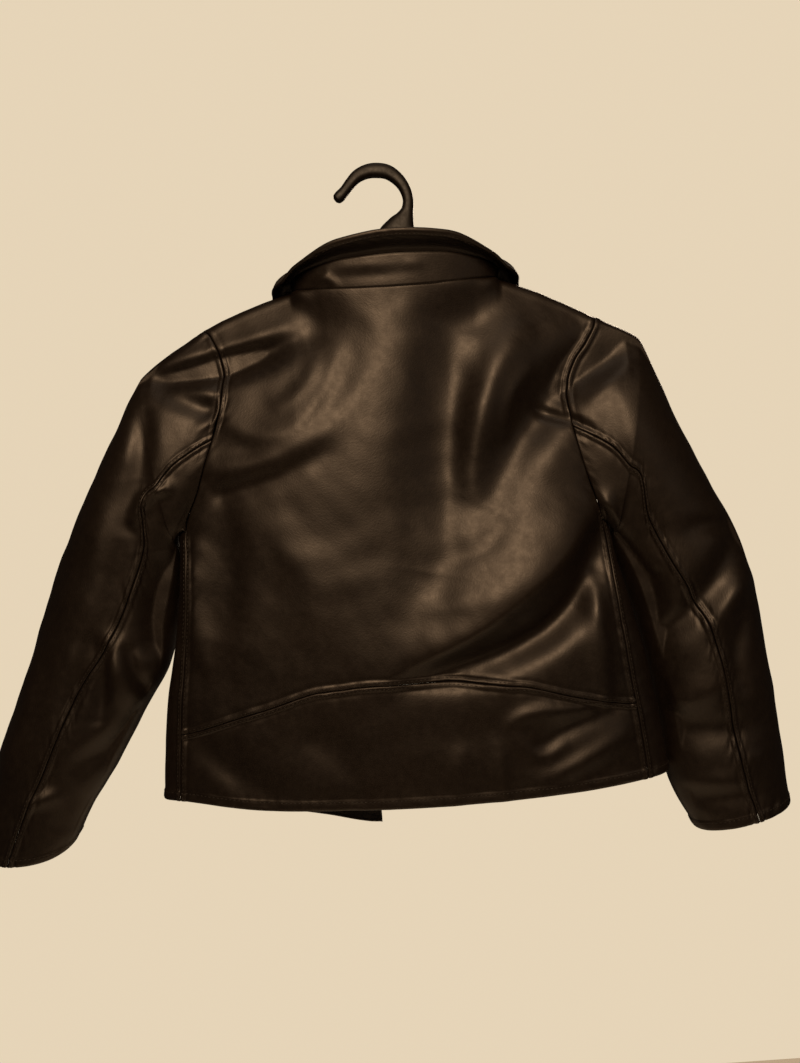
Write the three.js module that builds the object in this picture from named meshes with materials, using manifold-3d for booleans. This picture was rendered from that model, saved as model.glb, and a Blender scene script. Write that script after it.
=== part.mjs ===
// A child's faux leather biker jacket hanging on a moulded plastic hanger, back towards -Y.
// Millimetres, +Z up. The origin is the saddle of the hanger's hook.
// Every cloth piece is a wall laid on one of three surfaces: the body, a sleeve or the collar.
import * as THREE from "three";
import Module from "manifold-3d";
import { mergeVertices } from "three/addons/utils/BufferGeometryUtils.js";

const wasm = await Module();
wasm.setup();

// Driving dimensions
const WALL = 1.6; // thickness of the faux leather
const HALF_GAP = 0.18; // half of the gap that seams keep
const SHOULDER_RADIUS = 9; // the fold of the cloth over the hanger's arm
const SHOULDER_FALL = 150; // length over which a shoulder swells to the body's full depth
const NECK = { x: 8.5, halfWidth: 88.5, z: -94, back: 30, backDrop: 8, front: 28, frontDrop: 84 };
const NECK_FADE = 45; // length below the neck seam over which its roundness softens
const NECK_EDGE = 0.72; // share of the neck's half width where it starts to turn into the shoulder fold
const FRONT_NECK_POWER = 0.9; // roundness of the neck's foot in front
const BODY_TOP = -128; // level of the shoulder seam at the armholes
const BODY_HEM = -520; // level of the hem at the sides
const BODY_POWER = 2.5; // squareness of the body's sections
const SEAM_TURN_LIMIT = 90;

const rad = THREE.MathUtils.degToRad;
const deg = THREE.MathUtils.radToDeg;
const mix = THREE.MathUtils.lerp;
const clamp = THREE.MathUtils.clamp;
const smooth = THREE.MathUtils.smoothstep;

// The shoulder line, from left to right: z of the fold over the hanger.
const SHOULDER = [
  { x: -230, z: -165 },
  { x: -211, z: -154 },
  { x: -190, z: -140 },
  { x: -161, z: -123 },
  { x: -128, z: -109 },
  { x: -95, z: -98 },
  { x: -80, z: -94 },
  { x: 8, z: -80 },
  { x: 97, z: -95 },
  { x: 115, z: -102 },
  { x: 146, z: -116 },
  { x: 177, z: -133 },
  { x: 211, z: -151 },
  { x: 230, z: -162 },
];

// The body at each level: middle, outline left and right, and depth of back and front from the arms' plane.
const BODY = [
  { level: -128, middle: 8, left: -290, right: 306, back: 30, front: 27 },
  { level: -160, middle: 6, left: -272, right: 284, back: 31, front: 28 },
  { level: -200, middle: 2, left: -238, right: 240, back: 33, front: 30 },
  { level: -250, middle: -5, left: -204, right: 190, back: 35, front: 32 },
  { level: -291, middle: -7, left: -191, right: 173, back: 36, front: 33 },
  { level: -325, middle: -7, left: -192, right: 178, back: 37, front: 34 },
  { level: -369, middle: -5, left: -197, right: 189.5, back: 38, front: 35 },
  { level: -430, middle: -4, left: -209, right: 202, back: 38, front: 35 },
  { level: -480, middle: -3, left: -215, right: 209, back: 38, front: 35 },
  { level: -520, middle: -3, left: -218, right: 212, back: 38, front: 35 },
];

// The back's side edges: the armhole down to the underarm, then the side seam.
const BACK_EDGE = [
  { level: -128, left: -161, right: 177 },
  { level: -142, left: -151, right: 174 },
  { level: -160, left: -144, right: 166 },
  { level: -180, left: -141, right: 155 },
  { level: -200, left: -143, right: 148 },
  { level: -220, left: -149, right: 146 },
  { level: -240, left: -157, right: 148 },
  { level: -266, left: -168, right: 154 },
  { level: -291, left: -181, right: 162 },
  { level: -306, left: -182, right: 167.5 },
  { level: -325, left: -182, right: 171.5 },
  { level: -369, left: -185, right: 175 },
  { level: -430, left: -192, right: 181 },
  { level: -480, left: -197, right: 186.5 },
  { level: -520, left: -200, right: 190 },
];

// The curved seam above the hem band. Turns are degrees round the body from the centre back.
const BAND_SEAM = [
  { turn: -90, level: -463 },
  { turn: -66, level: -463 },
  { turn: -37, level: -446 },
  { turn: -21, level: -434 },
  { turn: -7, level: -428 },
  { turn: 8, level: -428 },
  { turn: 18, level: -433 },
  { turn: 31, level: -442 },
  { turn: 43, level: -450 },
  { turn: 62, level: -457 },
  { turn: 90, level: -457 },
];

// The hem, all round: low at the fronts, lowest at the left front's corner.
const HEM = [
  { turn: -190, z: -564 },
  { turn: -171, z: -562 },
  { turn: -157, z: -551 },
  { turn: -137, z: -537 },
  { turn: -114, z: -524 },
  { turn: -90, z: -516 },
  { turn: -67, z: -515 },
  { turn: -29, z: -525 },
  { turn: 5, z: -529 },
  { turn: 33, z: -527 },
  { turn: 70, z: -522 },
  { turn: 90, z: -521 },
  { turn: 114, z: -524 },
  { turn: 137, z: -531 },
  { turn: 157, z: -538 },
  { turn: 173, z: -544 },
  { turn: 190, z: -546 },
];

const UNDERARM = { left: -291, right: -306 }; // level where the side seam meets the armhole
const FRONT_EDGE = { left: -171, right: 173 }; // turn of each front's free edge
const FRONT_ARMHOLE_RISE = 46; // height over which a front's armhole comes round from the side seam

// Slope-limited cubic through a table's rows, keyed by one column.
function along(rows, key, column, at) {
  const list = rows[0][key] < rows[rows.length - 1][key] ? rows : [...rows].reverse();
  const x = list.map((row) => row[key]);
  const y = list.map((row) => row[column]);
  const step = (i) => (y[i + 1] - y[i]) / (x[i + 1] - x[i]);
  const slope = (i) => {
    if (i === 0) return step(0);
    if (i === x.length - 1) return step(i - 1);
    const before = step(i - 1);
    const after = step(i);
    return before * after <= 0 ? 0 : (2 * before * after) / (before + after);
  };
  const t = clamp(at, x[0], x[x.length - 1]);
  let i = 0;
  while (i < x.length - 2 && t > x[i + 1]) i += 1;
  const w = x[i + 1] - x[i];
  const u = (t - x[i]) / w;
  const cubic = (a, b, c, d) => a * u ** 3 + b * u ** 2 + c * u + d;
  return (
    y[i] * cubic(2, -3, 0, 1) +
    y[i + 1] * cubic(-2, 3, 0, 0) +
    w * (slope(i) * cubic(1, -2, 1, 0) + slope(i + 1) * cubic(1, -1, 0, 0))
  );
}

// The body

// A point of the body: turn in degrees from the centre back, level in mm at the sides.
function bodyPoint(turn, level) {
  const side = Math.sin(rad(turn)) < 0 ? "left" : "right";
  const middle = along(BODY, "level", "middle", level);
  const reach = Math.abs(along(BODY, "level", side, level) - middle);
  const across = Math.sin(rad(turn));
  const x = middle + reach * across;
  const isBack = Math.abs(turn) <= SEAM_TURN_LIMIT;
  const full = along(BODY, "level", isBack ? "back" : "front", level);
  const squareness = 1 - Math.abs(across) ** BODY_POWER;
  const depth = full * Math.max(squareness, 0) ** (1 / BODY_POWER);

  const off = Math.min(Math.abs(x - NECK.x) / NECK.halfWidth, 1);
  const opening = 1 - off * off;
  const neckDrop = isBack ? NECK.backDrop * opening : NECK.frontDrop * opening ** FRONT_NECK_POWER;
  const neckShare = 1 - smooth(off, NECK_EDGE, 1);
  const shoulder = along(SHOULDER, "x", "z", x);
  const top = off < 1 ? Math.min(shoulder, NECK.z) - neckDrop : shoulder;

  const quarter = (SHOULDER_RADIUS * Math.PI) / 2;
  const hem = along(HEM, "turn", "z", turn);
  const share = (BODY_TOP - level) / (BODY_TOP - BODY_HEM);
  const length = top - hem + (1 - neckShare) * (quarter - SHOULDER_RADIUS);
  const run = share * length;
  const bend = Math.min(run / SHOULDER_RADIUS, Math.PI / 2);
  const ridgeDrop = SHOULDER_RADIUS * (1 - Math.cos(bend)) + Math.max(run - quarter, 0);
  const drop = mix(ridgeDrop, run, neckShare);
  const neckPower = mix(0.5, 2, smooth(run, 0, NECK_FADE));
  const neckDepth = (isBack ? NECK.back : NECK.front) * opening ** neckPower;

  const swell = (distance) => 1 - (1 - clamp(distance / SHOULDER_FALL, 0, 1)) ** 2;
  const spread = Math.max(depth - neckDepth, 0);
  const onRidge = Math.min(SHOULDER_RADIUS, spread) * Math.sin(bend);
  const below = Math.max(spread - SHOULDER_RADIUS, 0) * swell(run - quarter);
  const fromRidge = onRidge + below;
  const fromNeck = spread * swell(run);
  const out = neckDepth + mix(fromRidge, fromNeck, neckShare);
  return new THREE.Vector3(x, isBack ? -out : out, top - drop);
}

// The turn of the back's side edge at a level, signed by side.
function backTurn(side, level) {
  const middle = along(BODY, "level", "middle", level);
  const reach = along(BODY, "level", side, level) - middle;
  const edge = along(BACK_EDGE, "level", side, level) - middle;
  return (side === "left" ? -1 : 1) * deg(Math.asin(clamp(edge / reach, 0, 1)));
}

// The turn of a front's outer edge: the side seam, then round under the arm and up the front armhole.
function frontTurn(side, level) {
  const sign = side === "left" ? -1 : 1;
  const seam = backTurn(side, level);
  if (level <= UNDERARM[side]) return seam;
  const atUnderarm = backTurn(side, UNDERARM[side]);
  const rise = clamp((level - UNDERARM[side]) / FRONT_ARMHOLE_RISE, 0, 1);
  return mix(atUnderarm, sign * 180 - seam, 1 - (1 - rise) ** 3);
}

// Sleeves
// Each row is a ring: its outer and inner points seen from the back, its half depth, how far its middle and
// its inner end lie in front, how far its back hangs lower, and where the hindarm seam runs round it.
const SLEEVE = {
  left: [
    { at: 0, outX: -161, outZ: -123, inX: -181, inZ: -291, deep: 28, ahead: 0, inAhead: -15, sag: 0, seam: 102.86 },
    { at: 0.07, outX: -190, outZ: -140, inX: -196, inZ: -295, deep: 30, ahead: 1, inAhead: -14, sag: 0, seam: 105 },
    { at: 0.13, outX: -211, outZ: -154.5, inX: -195.5, inZ: -301, deep: 31, ahead: 2, inAhead: -6, sag: 0, seam: 109 },
    { at: 0.21, outX: -236, outZ: -198, inX: -193.5, inZ: -315, deep: 33, ahead: 3, inAhead: 6, sag: 0, seam: 97 },
    { at: 0.3, outX: -261, outZ: -242, inX: -194, inZ: -336, deep: 34, ahead: 4, inAhead: 11, sag: 0, seam: 109 },
    { at: 0.43, outX: -293, outZ: -306, inX: -198, inZ: -370, deep: 35, ahead: 5, inAhead: 14, sag: 1, seam: 106 },
    { at: 0.53, outX: -312, outZ: -353, inX: -208, inZ: -404, deep: 35, ahead: 6, inAhead: 6, sag: 2, seam: 99 },
    { at: 0.63, outX: -330, outZ: -400, inX: -230, inZ: -439, deep: 34, ahead: 6, inAhead: 6, sag: 4, seam: 90 },
    { at: 0.78, outX: -357, outZ: -463, inX: -260, inZ: -487, deep: 32, ahead: 6, inAhead: 6, sag: 8, seam: 88.5 },
    { at: 0.9, outX: -374, outZ: -508, inX: -284, inZ: -522, deep: 31, ahead: 6, inAhead: 6, sag: 12, seam: 86 },
    { at: 1, outX: -387, outZ: -540, inX: -298, inZ: -546, deep: 30, ahead: 6, inAhead: 6, sag: 16, seam: 85 },
  ],
  right: [
    { at: 0, outX: 177, outZ: -133, inX: 166, inZ: -306, deep: 28, ahead: 0, inAhead: -15, sag: 0, seam: 102.86 },
    { at: 0.07, outX: 198, outZ: -144, inX: 180.5, inZ: -311, deep: 30, ahead: 1, inAhead: -14, sag: 0, seam: 105 },
    { at: 0.13, outX: 211, outZ: -151, inX: 181.5, inZ: -317, deep: 31, ahead: 2, inAhead: -6, sag: 0, seam: 110 },
    { at: 0.21, outX: 228, outZ: -191, inX: 181, inZ: -329, deep: 33, ahead: 3, inAhead: 6, sag: 0, seam: 101 },
    { at: 0.3, outX: 244, outZ: -232, inX: 184.5, inZ: -346, deep: 34, ahead: 4, inAhead: 11, sag: 0, seam: 109 },
    { at: 0.42, outX: 266, outZ: -281, inX: 190.5, inZ: -370, deep: 35, ahead: 5, inAhead: 14, sag: 1, seam: 106 },
    { at: 0.53, outX: 289, outZ: -330, inX: 197.5, inZ: -402, deep: 35, ahead: 6, inAhead: 14, sag: 2, seam: 99 },
    { at: 0.61, outX: 297, outZ: -364, inX: 203, inZ: -430, deep: 34, ahead: 6, inAhead: 14, sag: 3, seam: 92 },
    { at: 0.76, outX: 305, outZ: -430, inX: 210, inZ: -478, deep: 33, ahead: 6, inAhead: 14, sag: 2, seam: 88 },
    { at: 0.9, outX: 311, outZ: -498, inX: 216, inZ: -533, deep: 31, ahead: 6, inAhead: 11, sag: 1, seam: 86 },
    { at: 1, outX: 316, outZ: -556, inX: 234, inZ: -575, deep: 30, ahead: 6, inAhead: 6, sag: 0, seam: 85 },
  ],
};
const FRONT_SLEEVE_SEAM = 360 - (8 * 180) / 14; // turn of the hidden seam down the front of each sleeve
const HEAD_END = 0.14; // share of a sleeve over which its head leaves the armhole's shape
const HEAD_EASE = 1.6; // how fast it leaves that shape
const ARMHOLE_GAP = 0.5;
const SLEEVE_POWER = 2.1;

// A point of the armhole: turn 0 on the shoulder, 90 on the back, 180 under the arm, 270 in front.
function armholePoint(side, turn) {
  const fall = (1 - Math.cos(rad(turn))) / 2;
  const level = mix(BODY_TOP, UNDERARM[side], fall);
  const isBack = turn <= 180;
  return bodyPoint(isBack ? backTurn(side, level) : frontTurn(side, level), level);
}

// A point of a sleeve's rings, with no armhole: turn as above, at = 0 on the armhole's rows and 1 at the cuff.
function ringPoint(side, turn, at) {
  const pick = (column) => along(SLEEVE[side], "at", column, at);
  const cos = Math.cos(rad(turn));
  const isBack = Math.sin(rad(turn)) >= 0;
  const inShare = (1 - cos) / 2;
  const round = Math.max(1 - Math.abs(cos) ** SLEEVE_POWER, 0) ** (1 / SLEEVE_POWER);
  const middle = mix(pick("ahead"), pick("inAhead"), inShare * inShare);
  const sag = isBack ? pick("sag") * round : 0;
  return new THREE.Vector3(
    mix(pick("outX"), pick("inX"), inShare),
    middle + (isBack ? -1 : 1) * pick("deep") * round,
    mix(pick("outZ"), pick("inZ"), inShare) - sag,
  );
}

// A point of a sleeve: its head leaves the armhole for the rings, which take over at HEAD_END.
function sleevePoint(side, turn, at) {
  if (at >= HEAD_END) return ringPoint(side, turn, at);
  const share = at / HEAD_END;
  const ring = ringPoint(side, turn, HEAD_END * mix(0.5, 1, share));
  return armholePoint(side, turn).lerp(ring, 1 - (1 - share) ** HEAD_EASE);
}

// The share of a sleeve's length that clears the armhole by its gap.
function armholeClear(side, turn) {
  const reach = armholePoint(side, turn).distanceTo(ringPoint(side, turn, HEAD_END / 2));
  return (HEAD_END * ARMHOLE_GAP) / (reach * HEAD_EASE);
}

// Collar
// Turns run round the neck from the centre back. A section stands up from the neck seam, flares out below
// the lip and ends at the lip. Out is away from the neck, up is +Z, lift keeps the leaf clear of the fronts.
const COLLAR = [
  { turn: -156, standOut: 1, standUp: 5, flareOut: 24, flareUp: 6, lipOut: 34, lipUp: -18, lift: 7 },
  { turn: -130, standOut: 1, standUp: 7, flareOut: 22, flareUp: 8, lipOut: 32, lipUp: -20, lift: 8 },
  { turn: -110, standOut: 1, standUp: 10, flareOut: 18, flareUp: 14, lipOut: 24, lipUp: -12, lift: 9 },
  { turn: -90, standOut: 1, standUp: 8, flareOut: 12, flareUp: 11, lipOut: 15.5, lipUp: -1, lift: 2 },
  { turn: -64, standOut: 2, standUp: 13, flareOut: 14, flareUp: 12, lipOut: 16, lipUp: 4.5, lift: 0 },
  { turn: -50, standOut: 3, standUp: 17, flareOut: 16, flareUp: 16, lipOut: 18, lipUp: 14.5, lift: 0 },
  { turn: -24, standOut: 4, standUp: 24, flareOut: 18, flareUp: 26, lipOut: 20, lipUp: 34, lift: 0 },
  { turn: 0, standOut: 4, standUp: 26, flareOut: 18, flareUp: 30, lipOut: 20, lipUp: 39.5, lift: 0 },
  { turn: 24, standOut: 4, standUp: 24, flareOut: 18, flareUp: 27, lipOut: 20, lipUp: 35, lift: 0 },
  { turn: 50, standOut: 3, standUp: 17, flareOut: 16, flareUp: 16, lipOut: 18, lipUp: 14.5, lift: 0 },
  { turn: 64, standOut: 2, standUp: 13, flareOut: 14, flareUp: 11, lipOut: 16, lipUp: 4, lift: 0 },
  { turn: 90, standOut: 1, standUp: 8, flareOut: 12, flareUp: 10, lipOut: 16, lipUp: -3, lift: 2 },
  { turn: 110, standOut: 1, standUp: 10, flareOut: 18, flareUp: 13, lipOut: 24, lipUp: -14, lift: 9 },
  { turn: 130, standOut: 1, standUp: 7, flareOut: 22, flareUp: 7, lipOut: 32, lipUp: -22, lift: 8 },
  { turn: 156, standOut: 1, standUp: 5, flareOut: 24, flareUp: 6, lipOut: 34, lipUp: -18, lift: 7 },
];
const COLLAR_END = { left: -147, right: 155 }; // turns of the collar's two front ends
const STAND_LIFT = 0.4; // share of the leaf's lift that the stand takes
const LEAF_RISE = 0.25; // how far the leaf goes on in the stand's direction, as a share of the stand

// The neck seam at a turn round the neck.
function neckPoint(turn) {
  const cos = Math.cos(rad(turn));
  const isBack = cos >= 0;
  const drop = isBack ? NECK.backDrop * cos ** 2 : NECK.frontDrop * (cos * cos) ** FRONT_NECK_POWER;
  const y = isBack ? -NECK.back * cos : -NECK.front * cos;
  return new THREE.Vector3(NECK.x + NECK.halfWidth * Math.sin(rad(turn)), y, NECK.z - drop);
}

// A point of the collar: climb 0 to 1 is the stand, 1 to 2 the leaf.
function collarPoint(turn, climb) {
  const pick = (column) => along(COLLAR, "turn", column, turn);
  const ahead = Math.abs(turn) > 90;
  const away = ahead ? Math.sign(turn) : Math.sin(rad(turn));
  const behind = ahead ? 0 : -Math.cos(rad(turn));
  const place = (out, up, lift) => neckPoint(turn).add(new THREE.Vector3(out * away, out * behind + lift, up));
  const base = place(0, 0, 0);
  const lift = pick("lift");
  const stand = place(pick("standOut"), pick("standUp"), lift * STAND_LIFT);
  if (climb <= 1) return base.lerp(stand, climb);
  const rise = stand.clone().sub(base).multiplyScalar(LEAF_RISE).add(stand);
  const flare = place(pick("flareOut"), pick("flareUp"), lift);
  const lip = place(pick("lipOut"), pick("lipUp"), lift);
  return new THREE.CubicBezierCurve3(stand, rise, flare, lip).getPoint(climb - 1);
}

// Walls

// A closed wall WALL thick under a surface: point(u, v) gives its outer face, columns and rows its steps.
function wall(name, material, columns, rows, point, facing) {
  const grid = rows.map((v) => columns.map((u) => point(u, v)));
  const tiny = 1e-3;
  const normal = (u, v) => {
    const inside = (t) => clamp(t, tiny, 1 - tiny);
    const [cu, cv] = [inside(u), inside(v)];
    const du = point(cu + tiny, cv).sub(point(cu - tiny, cv));
    const dv = point(cu, cv + tiny).sub(point(cu, cv - tiny));
    return du.cross(dv).normalize().multiplyScalar(facing);
  };
  const inner = rows.map((v, j) =>
    columns.map((u, i) => grid[j][i].clone().addScaledVector(normal(u, v), -WALL)),
  );
  const wide = columns.length;
  const tall = rows.length;
  const outerAt = (i, j) => j * wide + i;
  const innerAt = (i, j) => wide * tall + j * wide + i;
  const faces = [];
  const quad = (a, b, c, d) => faces.push(a, b, c, a, c, d);
  for (let j = 0; j + 1 < tall; j += 1) {
    for (let i = 0; i + 1 < wide; i += 1) {
      quad(outerAt(i, j), outerAt(i + 1, j), outerAt(i + 1, j + 1), outerAt(i, j + 1));
      quad(innerAt(i, j), innerAt(i, j + 1), innerAt(i + 1, j + 1), innerAt(i + 1, j));
    }
  }
  for (let i = 0; i + 1 < wide; i += 1) {
    quad(outerAt(i + 1, 0), outerAt(i, 0), innerAt(i, 0), innerAt(i + 1, 0));
    const last = tall - 1;
    quad(outerAt(i, last), outerAt(i + 1, last), innerAt(i + 1, last), innerAt(i, last));
  }
  for (let j = 0; j + 1 < tall; j += 1) {
    quad(outerAt(0, j), outerAt(0, j + 1), innerAt(0, j + 1), innerAt(0, j));
    const last = wide - 1;
    quad(outerAt(last, j + 1), outerAt(last, j), innerAt(last, j), innerAt(last, j + 1));
  }
  if (facing < 0) faces.reverse();
  const geometry = new THREE.BufferGeometry().setFromPoints([...grid.flat(), ...inner.flat()]);
  geometry.setIndex(faces);
  geometry.computeVertexNormals();
  const mesh = new THREE.Mesh(geometry, material);
  mesh.name = name;
  return mesh;
}

const steps = (count) => Array.from({ length: count + 1 }, (_, i) => i / count);

// Body rows match the sleeve's columns down to the underarm, then run on to the piece's foot.
const ARMHOLE_STEPS = 14;
const ARMHOLE_SHARE = 0.6; // share of a piece's rows that the armhole takes
const bodyRows = (below) => [
  ...steps(ARMHOLE_STEPS).map((t) => t * ARMHOLE_SHARE),
  ...steps(below).slice(1).map((t) => mix(ARMHOLE_SHARE, 1, t)),
];

function rowLevel(side, v, foot) {
  if (v > ARMHOLE_SHARE) return mix(UNDERARM[side], foot, (v - ARMHOLE_SHARE) / (1 - ARMHOLE_SHARE));
  const fall = (1 - Math.cos((Math.PI * v) / ARMHOLE_SHARE)) / 2;
  return mix(BODY_TOP, UNDERARM[side], fall);
}

// Materials
const LEATHER_LOOK = { color: 0x2a201a, roughness: 0.42, metalness: 0 };
const PLASTIC_LOOK = { color: 0x15130f, roughness: 0.35, metalness: 0 };
const leather = () => new THREE.MeshStandardMaterial(LEATHER_LOOK);

// Pieces
// The gap that a panel's top edge keeps, fading out down its rows.
const topGap = (v) => HALF_GAP * (1 - v) ** 2;

// Half a seam's gap as a turn of the body, in degrees.
function gapTurn(turn, level) {
  return HALF_GAP / bodyPoint(turn + 0.5, level).distanceTo(bodyPoint(turn - 0.5, level));
}

const bandLevel = (turn) => along(BAND_SEAM, "turn", "level", turn);
const SIDE_BAND_LEVEL = { left: -463, right: -457 }; // where the band's seam meets the side seams
const ARCH_START = 0.8; // share of the armhole's rows from which the panel's rows follow that seam
const BACK_COLUMNS = 20;
const PANEL_ROWS = 7; // rows below the underarm
const BAND_ROWS = 3;
const FRONT_ROWS = 9;
const FRONT_COLUMNS = [0, 0.05, 0.1, 0.15, 0.21, 0.29, 0.4, 0.52, 0.64, 0.76, 0.88, 1];
const SLEEVE_TOP_COLUMNS = 16;
const SLEEVE_UNDER_COLUMNS = 12;
const HEAD_ROWS = [0, 0.02, 0.045, 0.075, 0.11, 0.16, 0.22, 0.29];
const SLEEVE_ROWS = [...HEAD_ROWS, ...steps(9).map((t) => mix(0.36, 1, t))];
const SLEEVE_SEAM_SHIFT = 0.35; // degrees, half a seam's gap on a sleeve
const COLLAR_COLUMNS = 24;
const STAND_ROWS = 3;
const LEAF_ROWS = 5;

function backPanel() {
  const point = (u, v) => {
    const leftLevel = rowLevel("left", v, SIDE_BAND_LEVEL.left);
    const rightLevel = rowLevel("right", v, SIDE_BAND_LEVEL.right);
    const left = backTurn("left", leftLevel);
    const right = backTurn("right", rightLevel);
    const turn = mix(left + gapTurn(left, leftLevel), right - gapTurn(right, rightLevel), u);
    const side = mix(SIDE_BAND_LEVEL.left, SIDE_BAND_LEVEL.right, u);
    const arch = (bandLevel(turn) + HALF_GAP - side) * smooth(v, ARMHOLE_SHARE * ARCH_START, 1);
    return bodyPoint(turn, mix(leftLevel, rightLevel, u) + arch - topGap(v));
  };
  return wall("back_panel", leather(), steps(BACK_COLUMNS), bodyRows(PANEL_ROWS), point, -1);
}

function backHemBand() {
  const point = (u, v) => {
    const leftLevel = mix(SIDE_BAND_LEVEL.left, BODY_HEM, v);
    const rightLevel = mix(SIDE_BAND_LEVEL.right, BODY_HEM, v);
    const left = backTurn("left", leftLevel);
    const right = backTurn("right", rightLevel);
    const turn = mix(left + gapTurn(left, leftLevel), right - gapTurn(right, rightLevel), u);
    return bodyPoint(turn, mix(bandLevel(turn) - HALF_GAP, BODY_HEM, v));
  };
  return wall("back_hem_band", leather(), steps(BACK_COLUMNS), steps(BAND_ROWS), point, -1);
}

function front(side) {
  const sign = side === "left" ? -1 : 1;
  const point = (u, v) => {
    const level = rowLevel(side, v, BODY_HEM) - topGap(v);
    const outer = frontTurn(side, level);
    const start = outer + sign * gapTurn(outer, level);
    return bodyPoint(mix(start, FRONT_EDGE[side], u), level);
  };
  return wall("front_" + side, leather(), FRONT_COLUMNS, bodyRows(FRONT_ROWS), point, -sign);
}

// A sleeve piece between two seams of the ring; gaps are taken off its two sides and off the armhole.
function sleevePiece(name, side, startTurn, endTurn, columns) {
  const sign = side === "left" ? -1 : 1;
  const turnAt = (u, at) => mix(startTurn(at) + SLEEVE_SEAM_SHIFT, endTurn(at) - SLEEVE_SEAM_SHIFT, u);
  const point = (u, v) => {
    const start = armholeClear(side, (turnAt(u, 0) + 360) % 360);
    const at = mix(start, 1, v);
    return sleevePoint(side, (turnAt(u, at) + 360) % 360, at);
  };
  return wall(name, leather(), steps(columns), SLEEVE_ROWS, point, sign);
}

function sleeve(side) {
  const hindarm = (at) => along(SLEEVE[side], "at", "seam", at);
  const forearm = () => FRONT_SLEEVE_SEAM;
  const beforeTop = () => FRONT_SLEEVE_SEAM - 360;
  return [
    sleevePiece("sleeve_" + side + "_top", side, beforeTop, hindarm, SLEEVE_TOP_COLUMNS),
    sleevePiece("sleeve_" + side + "_under", side, hindarm, forearm, SLEEVE_UNDER_COLUMNS),
  ];
}

// Half a seam's gap as a share of the stand's or the leaf's climb.
const climbGap = (turn, climb) => HALF_GAP / collarPoint(turn, climb).distanceTo(collarPoint(turn, climb + 1));

function collarPiece(name, rows, climbOf) {
  const point = (u, v) => {
    const turn = mix(COLLAR_END.left, COLLAR_END.right, u);
    return collarPoint(turn, climbOf(turn, v));
  };
  return wall(name, leather(), steps(COLLAR_COLUMNS), rows, point, 1);
}

function collar() {
  const stand = (turn, v) => mix(2 * climbGap(turn, 0), 1 - climbGap(turn, 0), v);
  const leaf = (turn, v) => mix(1 + climbGap(turn, 1), 2, v);
  return [
    collarPiece("collar_stand", steps(STAND_ROWS), stand),
    collarPiece("collar_leaf", steps(LEAF_ROWS), leaf),
  ];
}

// The hanger

// The hook from its rounded tip to its flared foot: centre line, width across and depth front to back.
const HOOK_LINE = [
  { x: -37.5, z: -17, wide: 4.5, deep: 4.5 },
  { x: -36, z: -15.8, wide: 8.5, deep: 7.5 },
  { x: -33, z: -13.4, wide: 9.6, deep: 8 },
  { x: -29, z: -9.5, wide: 8.8, deep: 8 },
  { x: -24, z: -3.8, wide: 9.4, deep: 8 },
  { x: -17.4, z: 2.4, wide: 10.6, deep: 8 },
  { x: -8.5, z: 5.9, wide: 11.8, deep: 8 },
  { x: 0, z: 6.2, wide: 12.4, deep: 8 },
  { x: 8.6, z: 4.2, wide: 12, deep: 8 },
  { x: 16.8, z: -2.2, wide: 10.8, deep: 8 },
  { x: 22.4, z: -10.8, wide: 9.6, deep: 8 },
  { x: 24.7, z: -20, wide: 9.2, deep: 8 },
  { x: 23.8, z: -28.3, wide: 10.2, deep: 8.5 },
  { x: 21.2, z: -35.2, wide: 15.5, deep: 9 },
  { x: 18, z: -41.5, wide: 24, deep: 9.5 },
  { x: 15.5, z: -48, wide: 33, deep: 10 },
  { x: 12, z: -60, wide: 42, deep: 10 },
  { x: 8, z: -76, wide: 40, deep: 9 },
];

// The arms from tip to tip: centre line, height and depth.
const ARM_LINE = [
  { x: -204.5, z: -160, tall: 5, deep: 5 },
  { x: -201, z: -158.5, tall: 8, deep: 8 },
  { x: -190, z: -152.5, tall: 10, deep: 10 },
  { x: -161, z: -136, tall: 12, deep: 11 },
  { x: -128, z: -121.5, tall: 13, deep: 11 },
  { x: -95, z: -113.5, tall: 13, deep: 10 },
  { x: -60, z: -101, tall: 16, deep: 8.5 },
  { x: -30, z: -85, tall: 22, deep: 11 },
  { x: 8, z: -78, tall: 26, deep: 11 },
  { x: 46, z: -85, tall: 22, deep: 11 },
  { x: 76, z: -101, tall: 16, deep: 8.5 },
  { x: 115, z: -118, tall: 13, deep: 10 },
  { x: 146, z: -130, tall: 13, deep: 11 },
  { x: 177, z: -146, tall: 11.5, deep: 11 },
  { x: 194, z: -153.5, tall: 10, deep: 10 },
  { x: 201, z: -156.5, tall: 8, deep: 8 },
  { x: 204.5, z: -158, tall: 5, deep: 5 },
];

const BAR_POWER = 2.6; // squareness of the hanger's sections
const BAR_STEPS = 48;
const BAR_SIDES = 12;

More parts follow.
